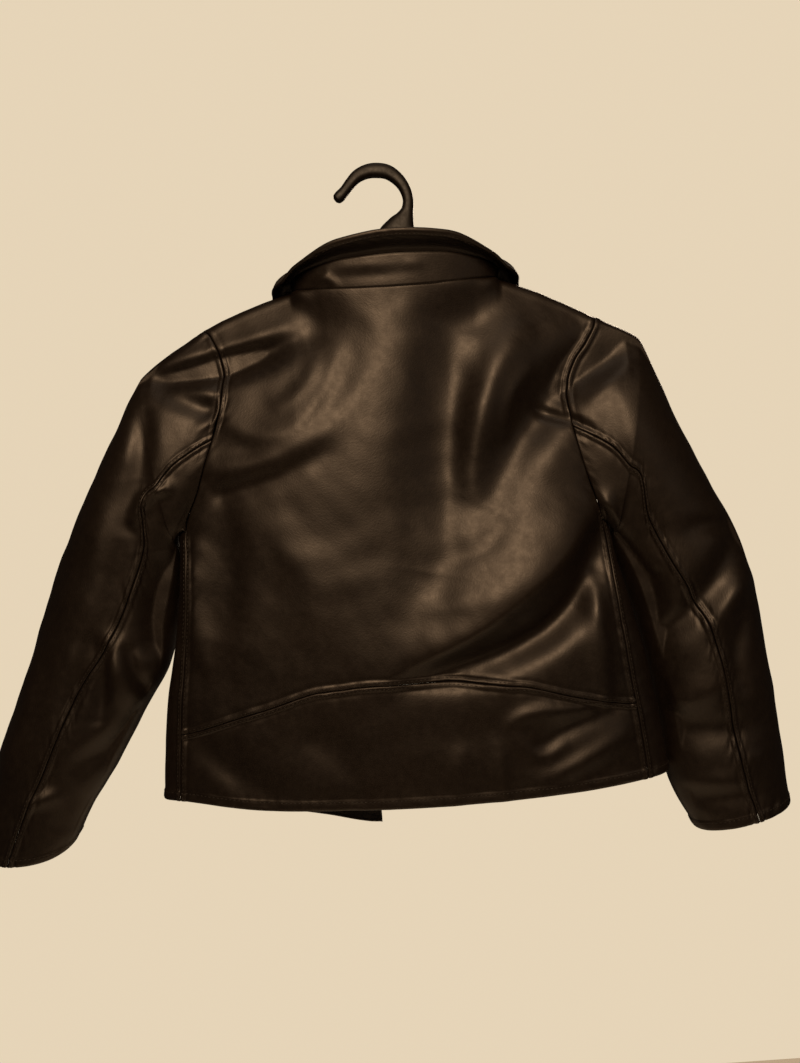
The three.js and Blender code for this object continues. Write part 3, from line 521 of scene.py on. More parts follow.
# Depths below the origin between which an armhole's seam has no topstitching
PLAIN_FROM, PLAIN_TO = (204, 220), (290, 304)
SHOULDER_TOP, SHOULDER_PLAIN = (130, 162), 0.75  # depths over which it is flatter, and how much


def dimple(distance, stitch):
    return -DIMPLE * bell(distance, stitch, DIMPLE_WIDE)


def seam_relief(distance):
    """A seam pressed open and topstitched: a low ridge on either side of a groove."""
    raised = SEAM_RISE * fade(distance, SEAM_WIDE - 0.6, SEAM_WIDE + 1.4)
    groove = (GROOVE + SEAM_RISE) * fade(distance, 0, 1.1)
    pulled = PULL * bell(distance, SEAM_WIDE + PULL_AWAY, PULL_WIDE)
    return raised - groove - pulled + dimple(distance, SEAM_STITCH)


def hem_relief(distance):
    """A turned and topstitched edge: slightly fuller than the cloth above it."""
    raised = HEM_RISE * fade(distance, HEM_WIDE - 0.6, HEM_WIDE + 1)
    return raised - HEM_ROLL * fade(distance, 0, 1.6) + dimple(distance, HEM_STITCH)


def join_relief(distance):
    return -GROOVE * fade(distance, 0, 1.4)


def tuck_relief(distance):
    return -TUCK * fade(distance, 0.4, 2.2)


def lip_relief(distance):
    raised = LIP_RISE * fade(distance, LIP_WIDE, LIP_WIDE + 1.6)
    return raised - LIP_ROLL * fade(distance, 0, 1.5) + dimple(distance, LIP_STITCH)


# kind of edge: its relief, its stitch line's distance and whether its rim is rounded
EDGES = {
    "seam": (seam_relief, SEAM_STITCH, 0.0),
    "armhole": (seam_relief, SEAM_STITCH, 0.0),
    "hem": (hem_relief, HEM_STITCH, 1.0),
    "join": (join_relief, None, 0.0),
    "tuck": (tuck_relief, None, 0.0),
    "lip": (lip_relief, LIP_STITCH, 1.0),
}

# Cloth pieces


def spaced(length, step):
    """Shares from 0 to 1: fine steps beside both edges and even ones between them."""
    edge = np.arange(0, EDGE_ZONE, EDGE_STEP)
    count = max(int((length - 2 * EDGE_ZONE) / step), 1)
    middle = np.linspace(EDGE_ZONE, length - EDGE_ZONE, count)
    return np.concatenate([edge, middle, length - edge[::-1]]) / length


def run_lengths(grid, axis):
    step = np.linalg.norm(np.diff(grid, axis=axis), axis=-1)
    start = np.zeros_like(np.take(step, [0], axis))
    return np.concatenate([start, np.cumsum(step, axis)], axis)


def grid_normals(grid, facing):
    normal = np.cross(np.gradient(grid, axis=1), np.gradient(grid, axis=0)) * facing
    return normal / np.maximum(np.linalg.norm(normal, axis=-1, keepdims=True), 1e-9)


def edge_distances(grid):
    across, down = run_lengths(grid, 1), run_lengths(grid, 0)
    return {
        "left": (across, down),
        "right": (across[:, -1:] - across, down),
        "top": (down, across),
        "bottom": (down[-1:] - down, across),
    }


def boundary(rows, columns):
    """The row and column of each point round a grid's edge."""
    top = [(0, i) for i in range(columns)]
    right = [(j, columns - 1) for j in range(1, rows)]
    bottom = [(rows - 1, i) for i in range(columns - 2, -1, -1)]
    left = [(j, 0) for j in range(rows - 2, 0, -1)]
    return np.array(top + right + bottom + left)


RIM_STEPS = 3
RAIL_END = 1.5  # a row of stitches stops this far from the edge that it runs to
STITCH_RAILS = []


def add_rail(outer, normal, bare, distances, side, stitch):
    """Keeps the lines on a piece's face that a row of stitches follows, except where the cloth is bare."""
    away, run = distances[side]
    if side in ("top", "bottom"):
        outer, normal, bare = outer.swapaxes(0, 1), normal.swapaxes(0, 1), bare.T
        away, run = away.T, run.T
    if side in ("right", "bottom"):
        outer, normal, bare = outer[:, ::-1], normal[:, ::-1], bare[:, ::-1]
        away, run = away[:, ::-1], run[:, ::-1]
    line, up = [], []
    last = run[:, 0].max()
    for j in range(len(away)):
        if not RAIL_END < run[j, 0] < last - RAIL_END or away[j, -1] < stitch or bare[j, 0] > 0.5:
            keep_rail(line, up)
            line, up = [], []
            continue
        line.append([np.interp(stitch, away[j], outer[j, :, k]) for k in range(3)])
        up.append([np.interp(stitch, away[j], normal[j, :, k]) for k in range(3)])
    keep_rail(line, up)


def keep_rail(line, up):
    if len(line) > 2:
        STITCH_RAILS.append((np.array(line), np.array(up)))


def add_object(name, data):
    made = bpy.data.objects.new(name, data)
    bpy.context.scene.collection.objects.link(made)
    return made


def mesh_object(name, vertices, faces, materials):
    mesh = bpy.data.meshes.new(name)
    mesh.from_pydata(vertices.tolist(), [], [list(face) for face in faces])
    for material in materials:
        mesh.materials.append(material)
    mesh.shade_smooth()
    return add_object(name, mesh)


def set_point_values(mesh, name, values):
    mesh.attributes.new(name, "FLOAT", "POINT").data.foreach_set("value", values.astype(np.float32))


def cloth(name, us, vs, point, facing, shift, edges, lumps=1.0):
    """One cut piece: a thin closed shell on a surface, with folds, seams and turned edges."""
    u, v = np.meshgrid(us, vs)
    base = point(u, v)
    distances = edge_distances(base)
    moved, high = shift(base, u, v)
    folded = base + moved
    relief = lumps * sum(rise * uneven(base, size, seed) for rise, size, seed in UNEVEN)
    nearest = np.full(u.shape, 1e3)
    seam_share = np.zeros(u.shape)
    drop = -base[..., 2]
    plain = smooth(drop, *PLAIN_FROM) * fade(drop, *PLAIN_TO)
    plain = np.maximum(plain, SHOULDER_PLAIN * fade(drop, *SHOULDER_TOP))
    stitched = []
    for side, kind in edges.items():
        away, run = distances[side]
        shape, stitch, _ = EDGES[kind]
        bare = plain if kind == "armhole" else 0 * plain
        relief = relief + mix(shape(away), join_relief(away), bare)
        nearest = np.minimum(nearest, away)
        seam_share = np.maximum(seam_share, bell(away, 0, SEAM_DARK))
        if stitch:
            places = joined(run, away * 0.45, 0 * away)
            band = bell(away, stitch, PUCKER_WIDE) * (1 - bell(away, 0, 1.6))
            relief = relief + lumps * PUCKER * uneven(places, PUCKER_SIZE, len(name) + len(side)) * band
            stitched.append((bare, distances, side, stitch))
    outer = folded + relief[..., None] * grid_normals(folded, facing)
    normal = grid_normals(outer, facing)
    thick = CLOTH + ALLOWANCE * fade(nearest, ALLOWANCE_WIDE, ALLOWANCE_WIDE + 1.6)
    inner = outer - thick[..., None] * normal
    for row in stitched:
        add_rail(outer, normal, *row)
    return shell(name, outer, inner, edges, facing, distances, high, seam_share), base_size(base)


def base_size(base):
    """Width, length and area of the cut, in metres, from the surface before its folds."""
    across, down = run_lengths(base, 1), run_lengths(base, 0)
    cells = np.cross(base[1:, 1:] - base[:-1, :-1], base[1:, :-1] - base[:-1, 1:])
    area = np.linalg.norm(cells, axis=-1).sum() / 2
    return across[:, -1].max() * MM, down[-1].max() * MM, area * MM * MM


def shell(name, outer, inner, edges, facing, distances, high, seam_share):
    """A closed mesh of two faces and their rim, with its flat map and its own values."""
    rows, columns = outer.shape[:2]
    ring = boundary(rows, columns)
    index = ring[:, 0] * columns + ring[:, 1]
    tangent = np.zeros((len(ring), 3))
    steps = {
        "left": (outer[:, 0] - outer[:, 1], ring[:, 1] == 0, 0),
        "right": (outer[:, -1] - outer[:, -2], ring[:, 1] == columns - 1, 0),
        "top": (outer[0] - outer[1], ring[:, 0] == 0, 1),
        "bottom": (outer[-1] - outer[-2], ring[:, 0] == rows - 1, 1),
    }
    for side, (way, here, column) in steps.items():
        roundness = EDGES[edges[side]][2] if side in edges else 0.0
        unit = way / np.maximum(np.linalg.norm(way, axis=-1, keepdims=True), 1e-9)
        tangent[here] += roundness * unit[ring[here][:, column]]
    flat_outer, flat_inner = outer.reshape(-1, 3), inner.reshape(-1, 3)
    half = (flat_outer[index] - flat_inner[index]) / 2
    middle = (flat_outer[index] + flat_inner[index]) / 2
    radius = np.linalg.norm(half, axis=-1, keepdims=True)
    loops = []
    for k in range(1, RIM_STEPS + 1):
        bend = math.pi * k / (RIM_STEPS + 1)
        loops.append(middle + math.cos(bend) * half + math.sin(bend) * radius * tangent)
    count = rows * columns
    vertices = np.concatenate([flat_outer, flat_inner, *loops]) * MM
    j, i = np.meshgrid(np.arange(rows - 1), np.arange(columns - 1), indexing="ij")
    a = (j * columns + i).ravel()
    quads = np.stack([a, a + 1, a + columns + 1, a + columns], axis=1)
    chain = [index] + [2 * count + k * len(ring) + np.arange(len(ring)) for k in range(RIM_STEPS)]
    chain.append(index + count)
    rims = []
    for near, far in zip(chain[:-1], chain[1:]):
        rims.append(np.stack([near, far, np.roll(far, -1), np.roll(near, -1)], axis=1))
    rim = np.concatenate(rims)
    faces = np.concatenate([quads, quads[:, ::-1] + count, rim])
    if facing < 0:
        faces = faces[:, ::-1]
    piece = mesh_object(name, vertices, faces, [LEATHER, REVERSE])
    lining = np.zeros(len(faces), np.int32)
    lining[len(quads) : 2 * len(quads)] = 1
    piece.data.polygons.foreach_set("material_index", lining)
    across, down = distances["left"][0].ravel(), distances["top"][0].ravel()
    spread = lambda values: np.concatenate([values, values, *[values[index]] * RIM_STEPS])
    uv = np.stack([spread(across), spread(down)], axis=1) * MM
    corner = np.zeros(len(piece.data.loops), np.int32)
    piece.data.loops.foreach_get("vertex_index", corner)
    layer = piece.data.uv_layers.new(name="cut")
    layer.data.foreach_set("uv", uv[corner].astype(np.float32).ravel())
    set_point_values(piece.data, "fold_height", spread(high.ravel()))
    set_point_values(piece.data, "seam_share", spread(seam_share.ravel()))
    return piece


# The garment's pieces

# About how wide and long each piece is, for the steps of its grid
CUT = {
    "back_panel": (346, 335),
    "back_hem_band": (385, 76),
    "front": (235, 430),
    "sleeve_top": (205, 450),
    "sleeve_under": (150, 450),
}
ARCH_START = 0.5  # share of the back panel's length below which its rows bend to the band's seam


def cut_grid(kind, step):
    return [spaced(length, step) for length in CUT[kind]]


def band_level(turn):
    return along(BAND_SEAM, "turn", "level", turn)


def between_seams(left_level, right_level, u):
    """Turns across the back from seam to seam, even in width."""
    left, right = back_turn("left", left_level), back_turn("right", right_level)
    sines = mix(np.sin(np.radians(left)), np.sin(np.radians(right)), u)
    return np.degrees(np.arcsin(np.clip(sines, -1, 1)))


def body_shift(turn_of):
    def shift(base, u, v):
        return fold_shift(base, np.cos(np.radians(turn_of(u, v))), *BODY_FOLDS)

    return shift


def back_panel():
    def turn_of(u, v):
        left_level = mix(BODY_TOP, SIDE_BAND_LEVEL["left"], v)
        return between_seams(left_level, mix(BODY_TOP, SIDE_BAND_LEVEL["right"], v), u)

    def point(u, v):
        turn = turn_of(u, v)
        side = mix(SIDE_BAND_LEVEL["left"], SIDE_BAND_LEVEL["right"], u)
        arch = (band_level(turn) - side) * smooth(v, ARCH_START, 1)
        return body_point(turn, mix(BODY_TOP, side, v) + arch)

    edges = {"left": "armhole", "right": "armhole", "bottom": "seam", "top": "join"}
    us, vs = cut_grid("back_panel", SHOWN_STEP)
    return cloth("back_panel_leather", us, vs, point, -1, body_shift(turn_of), edges)


def back_hem_band():
    def turn_of(u, v):
        left_level = mix(SIDE_BAND_LEVEL["left"], BODY_HEM, v)
        return between_seams(left_level, mix(SIDE_BAND_LEVEL["right"], BODY_HEM, v), u)

    def point(u, v):
        turn = turn_of(u, v)
        return body_point(turn, mix(band_level(turn), BODY_HEM, v))

    edges = {"left": "seam", "right": "seam", "top": "seam", "bottom": "hem"}
    us, vs = cut_grid("back_hem_band", SHOWN_STEP)
    return cloth("back_hem_band_leather", us, vs, point, -1, body_shift(turn_of), edges)


def front(side):
    def turn_of(u, v):
        return mix(front_turn(side, mix(BODY_TOP, BODY_HEM, v)), FRONT_EDGE[side], u)

    def point(u, v):
        return body_point(turn_of(u, v), mix(BODY_TOP, BODY_HEM, v))

    edges = {"left": "armhole", "right": "hem", "bottom": "hem", "top": "join"}
    us, vs = cut_grid("front", HIDDEN_STEP)
    return cloth("front_" + side + "_leather", us, vs, point, -SIGN[side], body_shift(turn_of), edges)


def sleeve_piece(side, part, start_turn, end_turn, edges):
    """A sleeve piece between two seams; at the armhole its folds meet the body's."""

    def place_of(u, v):
        return np.mod(mix(start_turn(v), end_turn(v), u), 360), v

    def point(u, v):
        return sleeve_point(side, *place_of(u, v))

    def shift(base, u, v):
        turn, _ = place_of(u, v)
        back = (SHOULDER_FOLDS, SLEEVE_BACK_FOLDS[side])
        moved, high = fold_shift(base, np.sin(np.radians(turn)), back, (SLEEVE_FRONT_FOLDS[side],))
        body_turn, level = armhole_place(side, turn[0])
        hole = body_point(body_turn, level)
        hole_moved, _ = fold_shift(hole, np.cos(np.radians(body_turn)), *BODY_FOLDS)
        blend = fade(run_lengths(base, 0), 0, ARMHOLE_BLEND)
        return moved + (hole_moved - moved[0])[None] * blend[..., None], high

    us, vs = cut_grid("sleeve_" + part, SHOWN_STEP)
    return cloth("sleeve_" + side + "_" + part + "_leather", us, vs, point, SIGN[side], shift, edges)


def sleeve(side):
    hindarm = lambda at: along(SLEEVE[side], "at", "seam", at)
    top = sleeve_piece(
        side, "top", lambda at: at * 0 + FRONT_SLEEVE_SEAM - 360, hindarm,
        {"left": "join", "right": "seam", "top": "armhole", "bottom": "hem"},
    )
    under = sleeve_piece(
        side, "under", hindarm, lambda at: at * 0 + FRONT_SLEEVE_SEAM,
        {"left": "seam", "right": "join", "top": "armhole", "bottom": "hem"},
    )
    return top, under


def collar_piece(name, down, climb, edges, folds):
    """A collar piece between two climbs; down counts the points of its grid that way."""
    turn_of = lambda u: mix(COLLAR_END["left"], COLLAR_END["right"], u)

    def point(u, v):
        return collar_point(turn_of(u), mix(*climb, v))

    def shift(base, u, v):
        x, _, z = np.moveaxis(base, -1, 0)
        facing_back = smooth(np.cos(np.radians(turn_of(u))), 0.1, 0.5)
        high = facing_back * fold_field(folds, x, z) * (4 * v * (1 - v)) ** 0.5
        return joined(0 * x, -high, 0 * x), high

    us, vs = np.linspace(0, 1, COLLAR_ACROSS), np.linspace(0, 1, down)
    return cloth(name, us, vs, point, 1, shift, edges, lumps=COLLAR_LUMPS)


def collar():
    stand = collar_piece(
        "collar_stand_leather", STAND_DOWN, STAND_CLIMB,
        {"left": "join", "right": "join", "top": "tuck", "bottom": "tuck"}, STAND_FOLDS,
    )
    leaf = collar_piece(
        "collar_leaf_leather", LEAF_DOWN, LEAF_CLIMB,
        {"left": "hem", "right": "hem", "top": "join", "bottom": "lip"}, NO_FOLDS,
    )
    return stand, leaf


# Materials


def material_with(name):
    material = bpy.data.materials.new(name)
    material.use_nodes = True
    tree = material.node_tree
    return material, tree, tree.nodes["Principled BSDF"]


def node(tree, kind, **settings):
    made = tree.nodes.new(kind)
    for key, value in settings.items():
        if key in made.inputs:
            made.inputs[key].default_value = value
        else:
            setattr(made, key, value)
    return made


def ramp(tree, source, low, high, low_value, high_value):
    made = node(tree, "ShaderNodeMapRange")
    for key, value in (("From Min", low), ("From Max", high), ("To Min", low_value), ("To Max", high_value)):
        made.inputs[key].default_value = value
    tree.links.new(source, made.inputs["Value"])
    return made.outputs["Result"]


def blend_colors(tree, share, first, second):
    made = node(tree, "ShaderNodeMix", data_type="RGBA")
    for index, value in ((6, first), (7, second)):
        if isinstance(value, tuple):
            made.inputs[index].default_value = (*value, 1)
        else:
            tree.links.new(value, made.inputs[index])
    tree.links.new(share, made.inputs[0])
    return made.outputs[2]


def bump(tree, height, strength, distance, under=None):
    made = node(tree, "ShaderNodeBump", Strength=strength, Distance=distance)
    tree.links.new(height, made.inputs["Height"])
    if under is not None:
        tree.links.new(under, made.inputs["Normal"])
    return made.outputs["Normal"]


def noise(tree, place, scale, detail=3.0, roughness=0.5, distortion=0.0):
    made = node(
        tree, "ShaderNodeTexNoise", Scale=scale, Detail=detail, Roughness=roughness, Distortion=distortion
    )
    tree.links.new(place, made.inputs["Vector"])
    return made.outputs["Fac"]


def waves(tree, place, scale, distortion, direction):
    made = node(tree, "ShaderNodeTexWave", Scale=scale, Distortion=distortion, bands_direction=direction)
    tree.links.new(place, made.inputs["Vector"])
    return made.outputs["Fac"]


def object_place(tree):
    return tree.nodes.new("ShaderNodeTexCoord").outputs["Object"]


def cut_place(tree):
    return node(tree, "ShaderNodeUVMap", uv_map="cut").outputs["UV"]


def own_value(tree, name):
    return node(tree, "ShaderNodeAttribute", attribute_name=name).outputs["Fac"]


def finish_with(tree, shader, color, roughness, normal=None):
    for name, source in (("Base Color", color), ("Roughness", roughness), ("Normal", normal)):
        if source is not None:
            tree.links.new(source, shader.inputs[name])


def faux_leather():
    """Black-brown coated cloth: pebbled grain, fine creases, a painted highlight on the fold ridges and
    darker seams.
    """
    material, tree, shader = material_with("faux_leather")
    place, cut = object_place(tree), cut_place(tree)
    fold, seam = own_value(tree, "fold_height"), own_value(tree, "seam_share")
    broad = ramp(tree, noise(tree, place, 14, 3), 0.3, 0.7, 0, 1)
    fine = noise(tree, place, 160, 4, 0.6)
    color = blend_colors(tree, broad, (0.0068, 0.0040, 0.0024), (0.0105, 0.0064, 0.0038))
    color = blend_colors(tree, ramp(tree, fine, 0.35, 0.75, 0, 0.3), color, (0.015, 0.0094, 0.0057))
    # painted highlight: the colour turns lighter where the folds rise, standing in for light on their ridges
    color = blend_colors(tree, ramp(tree, fold, 3, 14, 0, 0.45), color, (0.020, 0.0130, 0.0082))
    color = blend_colors(tree, ramp(tree, seam, 0.2, 1, 0, 0.4), color, (0.0035, 0.0022, 0.0015))
    shader.inputs["Specular IOR Level"].default_value = 0.55
    shader.inputs["Specular Tint"].default_value = (1, 0.92, 0.86, 1)
    grain = node(tree, "ShaderNodeTexVoronoi", Scale=820.0, Randomness=1.0, feature="SMOOTH_F1")
    tree.links.new(cut, grain.inputs["Vector"])
    normal = bump(tree, noise(tree, place, 38, 3, 0.5, 0.6), 0.13, 0.0012)
    normal = bump(tree, noise(tree, cut, 210, 3, 0.6, 0.8), 0.22, 0.0003, normal)
    normal = bump(tree, grain.outputs["Distance"], 0.25, 0.0002, normal)
    finish_with(tree, shader, color, ramp(tree, fine, 0.25, 0.75, 0.39, 0.49), normal)
    return material


def cloth_reverse():
    """The knitted backing of the faux leather, dark and matt."""
    material, tree, shader = material_with("knitted_backing")
    cut = cut_place(tree)
    both = node(tree, "ShaderNodeMath", operation="MULTIPLY")
    for slot, direction in enumerate("XY"):
        tree.links.new(waves(tree, cut, 420.0, 1.5, direction), both.inputs[slot])
    knit = both.outputs[0]
    mottled = noise(tree, cut, 60, 3)
    color = blend_colors(tree, knit, (0.020, 0.016, 0.013), (0.060, 0.050, 0.042))
    color = blend_colors(tree, ramp(tree, mottled, 0.35, 0.7, 0, 0.4), color, (0.030, 0.025, 0.021))
    roughness = ramp(tree, mottled, 0.3, 0.7, 0.82, 0.95)
    finish_with(tree, shader, color, roughness, bump(tree, knit, 0.5, 0.0003))
    return material


def thread_finish():
    material, tree, shader = material_with("black_thread")
    twist = waves(tree, object_place(tree), 900.0, 2.0, "DIAGONAL")
    color = blend_colors(tree, twist, (0.012, 0.009, 0.007), (0.040, 0.030, 0.023))
    finish_with(tree, shader, color, ramp(tree, twist, 0, 1, 0.45, 0.62), bump(tree, twist, 0.4, 0.00012))
    return material


def moulded_plastic():
    """Black moulded plastic: an even gloss with faint flow marks and rubbed patches."""
    material, tree, shader = material_with("moulded_black_plastic")
    place = object_place(tree)
    flow = noise(tree, place, 30, 3, 0.5, 1.2)
    rubbed = noise(tree, place, 210, 4, 0.6)
    flowed = ramp(tree, flow, 0.3, 0.7, 0, 1)
    color = blend_colors(tree, flowed, (0.006, 0.004, 0.003), (0.010, 0.007, 0.005))
    color = blend_colors(tree, ramp(tree, rubbed, 0.6, 0.8, 0, 0.4), color, (0.018, 0.013, 0.009))
    shader.inputs["Specular IOR Level"].default_value = 0.25
    normal = bump(tree, rubbed, 0.15, 0.0001, bump(tree, flow, 0.2, 0.0006))
    finish_with(tree, shader, color, ramp(tree, rubbed, 0.3, 0.75, 0.34, 0.52), normal)
    return material


def floor_finish():
    material, tree, shader = material_with("pale_floor")
    soft = noise(tree, object_place(tree), 2, 3)
    color = blend_colors(tree, soft, (0.86, 0.80, 0.69), (0.89, 0.83, 0.72))
    finish_with(tree, shader, color, ramp(tree, soft, 0, 1, 0.85, 0.95))
    return material


LEATHER, REVERSE = faux_leather(), cloth_reverse()
THREAD, PLASTIC = thread_finish(), moulded_plastic()

# Stitches

STITCH_INPUTS = (
    ("Pitch", "Float", 0.0036),
    ("Stitch Length", "Float", 0.0027),
    ("Thread", "Float", 0.00062),
    ("Seed", "Int", 7),
)
STITCH_UNEVEN = (0.86, 1.1)  # smallest and largest share of a stitch's size
STITCH_PROUD = 0.12  # how far the stitches' middles lie outside the cloth


def stitch_tree():
    """Stitches laid along lines: each an oval bead turned to its line and to the cloth's face."""
    tree = bpy.data.node_groups.new("topstitching", "GeometryNodeTree")
    face = tree.interface
    face.new_socket("Lines", in_out="INPUT", socket_type="NodeSocketGeometry")
    values = {}
    for name, kind, value in STITCH_INPUTS:
        socket = face.new_socket(name, in_out="INPUT", socket_type="NodeSocket" + kind)
        values[socket.identifier] = value
    face.new_socket("Stitches", in_out="OUTPUT", socket_type="NodeSocketGeometry")
    inlet, outlet = node(tree, "NodeGroupInput"), node(tree, "NodeGroupOutput")
    to_curve = node(tree, "GeometryNodeMeshToCurve")
    resample = node(tree, "GeometryNodeResampleCurve", mode="LENGTH")
    bead = node(tree, "GeometryNodeMeshUVSphere", Segments=6, Rings=5, Radius=0.5)
    size = node(tree, "ShaderNodeCombineXYZ")
    tangent = node(tree, "GeometryNodeInputTangent")
    up = node(tree, "GeometryNodeInputNamedAttribute", data_type="FLOAT_VECTOR", Name="up")
    lie = node(tree, "FunctionNodeAlignRotationToVector", axis="X")
    stand = node(tree, "FunctionNodeAlignRotationToVector", axis="Z", pivot_axis="X")
    jitter = node(tree, "FunctionNodeRandomValue", data_type="FLOAT")
    jitter.inputs[2].default_value, jitter.inputs[3].default_value = STITCH_UNEVEN
    scale = node(tree, "ShaderNodeVectorMath", operation="SCALE")
    place = node(tree, "GeometryNodeInstanceOnPoints")
    realize = node(tree, "GeometryNodeRealizeInstances")
    soft = node(tree, "GeometryNodeSetShadeSmooth")
    finish = node(tree, "GeometryNodeSetMaterial", Material=THREAD)
    for source, plug, target, socket in (
        (inlet, "Lines", to_curve, "Mesh"),
        (to_curve, "Curve", resample, "Curve"),
        (inlet, "Pitch", resample, "Length"),
        (inlet, "Stitch Length", size, "X"),
        (inlet, "Thread", size, "Y"),
        (inlet, "Thread", size, "Z"),
        (inlet, "Seed", jitter, "Seed"),
        (size, "Vector", scale, 0),
        (jitter, 1, scale, "Scale"),
        (tangent, "Tangent", lie, "Vector"),
        (lie, "Rotation", stand, "Rotation"),
        (up, "Attribute", stand, "Vector"),
        (resample, "Curve", place, "Points"),
        (bead, "Mesh", place, "Instance"),
        (stand, "Rotation", place, "Rotation"),
        (scale, "Vector", place, "Scale"),
        (place, "Instances", realize, "Geometry"),
        (realize, "Geometry", soft, 0),
        (soft, 0, finish, "Geometry"),
        (finish, "Geometry", outlet, "Stitches"),
    ):
        tree.links.new(source.outputs[plug], target.inputs[socket])
    return tree, values


def topstitching():
    """All the rows of stitches, as one plain mesh."""
    points, ups, edges = [], [], []
    for line, up in STITCH_RAILS:
        start = sum(len(part) for part in points)
        points.append(line + STITCH_PROUD * up)
        ups.append(up)
        edges.extend((start + i, start + i + 1) for i in range(len(line) - 1))
    rails = bpy.data.meshes.new("stitch_rails")
    rails.from_pydata((np.concatenate(points) * MM).tolist(), edges, [])
    layer = rails.attributes.new("up", "FLOAT_VECTOR", "POINT")
    layer.data.foreach_set("vector", np.concatenate(ups).astype(np.float32).ravel())
    carrier = add_object("stitch_rails", rails)
    tree, values = stitch_tree()
    modifier = carrier.modifiers.new("topstitching", "NODES")
    modifier.node_group = tree
    for key, value in values.items():
        modifier[key] = value
    graph = bpy.context.evaluated_depsgraph_get()
    mesh = bpy.data.meshes.new_from_object(carrier.evaluated_get(graph))
    bpy.data.objects.remove(carrier)
    mesh.name = "topstitching"
    return add_object("topstitching", mesh)


# The hanger: the hook from its rounded tip to its flared foot, and the arms from tip to tip

HOOK_LINE = table(
    "x z wide deep",
    (-37.5, -17, 4.5, 4.5), (-36, -15.8, 8.5, 7.5), (-33, -13.4, 9.6, 8), (-29, -9.5, 8.8, 8),
    (-24, -3.8, 9.4, 8), (-17.4, 2.4, 10.6, 8), (-8.5, 5.9, 11.8, 8), (0, 6.2, 12.4, 8),
    (8.6, 4.2, 12, 8), (16.8, -2.2, 10.8, 8), (22.4, -10.8, 9.6, 8), (24.7, -20, 9.2, 8),
    (23.8, -28.3, 10.2, 8.5), (21.2, -35.2, 15.5, 9), (18, -41.5, 24, 9.5), (15.5, -48, 33, 10),
    (12, -60, 42, 10), (8, -76, 40, 9),
)
ARM_LINE = table(
    "x z wide deep",
    (-204.5, -160, 5, 5), (-201, -158.5, 8, 8), (-190, -152.5, 10, 10), (-161, -136, 12, 11),
    (-128, -121.5, 13, 11), (-95, -113.5, 13, 10), (-60, -101, 16, 8.5), (-30, -85, 22, 11),
    (8, -78, 26, 11), (46, -85, 22, 11), (76, -101, 16, 8.5), (115, -118, 13, 10),
    (146, -130, 13, 11), (177, -146, 11.5, 11), (194, -153.5, 10, 10), (201, -156.5, 8, 8),
    (204.5, -158, 5, 5),
)
BAR_POWER, BAR_STEPS, BAR_SIDES = 2.6, 150, 32


def spline(rows, share):
    """Places and directions along a centripetal Catmull-Rom line through a table's x and z."""
    points = np.stack([rows["x"], rows["z"]], axis=1)
    gap = np.linalg.norm(np.diff(points, axis=0), axis=1)[:, None] ** 0.5
    step = np.diff(points, axis=0) / gap
    inner = (step[:-1] * gap[1:] + step[1:] * gap[:-1]) / (gap[:-1] + gap[1:])
    slope = np.concatenate([step[:1], inner, step[-1:]])
    at = share * (len(points) - 1)
    i = np.minimum(at.astype(int), len(points) - 2)
    u = (at - i)[:, None]
    before, after = slope[i] * gap[i], slope[i + 1] * gap[i]
    rise = u * u * (3 - 2 * u)
    line = mix(points[i], points[i + 1], rise) + before * u * (1 - u) ** 2 - after * u * u * (1 - u)
    way = np.gradient(line, axis=0)
    return line, way / np.linalg.norm(way, axis=1, keepdims=True)


def bar(rows):
    """A closed rounded bar through a table's rows, as vertices and faces."""
    share = np.linspace(0, 1, BAR_STEPS + 1)
    line, way = spline(rows, share)
    keyed = dict(rows, share=np.linspace(0, 1, len(rows["x"])))
    wide, deep = (along(keyed, "share", column, share)[:, None] / 2 for column in ("wide", "deep"))
    turn = np.linspace(0, 2 * math.pi, BAR_SIDES, endpoint=False)
    bend = lambda value: np.sign(value) * np.abs(value) ** (2 / BAR_POWER)
    aside = wide * bend(np.cos(turn))
    x = line[:, :1] - way[:, 1:] * aside
    z = line[:, 1:] + way[:, :1] * aside
    ring = joined(x, deep * bend(np.sin(turn)), z).reshape(-1, 3)
    ends = joined(line[[0, -1], 0], 0, line[[0, -1], 1])
    j, k = np.meshgrid(np.arange(BAR_STEPS), np.arange(BAR_SIDES), indexing="ij")
    a, b = (j * BAR_SIDES + k).ravel(), (j * BAR_SIDES + (k + 1) % BAR_SIDES).ravel()
    faces = np.stack([a, a + BAR_SIDES, b + BAR_SIDES, b], axis=1).tolist()
    first, last = len(ring), BAR_STEPS * BAR_SIDES
    for k in range(BAR_SIDES):
        after = (k + 1) % BAR_SIDES
        faces.append([first, after, k][::-1])
        faces.append([first + 1, last + k, last + after][::-1])
    return np.concatenate([ring, ends]), faces


def hanger():
    """Hook and arms joined into one moulding."""
    parts = []
    for name, rows in (("hanger_moulding", HOOK_LINE), ("hanger_arms", ARM_LINE)):
        vertices, faces = bar(rows)
        parts.append(mesh_object(name, vertices * MM, faces, [PLASTIC]))
    union = parts[0].modifiers.new("join", "BOOLEAN")
    union.operation, union.solver, union.object = "UNION", "EXACT", parts[1]
    graph = bpy.context.evaluated_depsgraph_get()
    mesh = bpy.data.meshes.new_from_object(parts[0].evaluated_get(graph))
    parts[0].modifiers.clear()
    parts[0].data = mesh
    mesh.shade_smooth()
    bpy.data.objects.remove(parts[1])
    return parts[0]


# Studio

CAMERA_PLACE = (-0.002, -0.709, -0.304)
CAMERA_ROLL = math.radians(4)
LENS, SENSOR = 28, 36


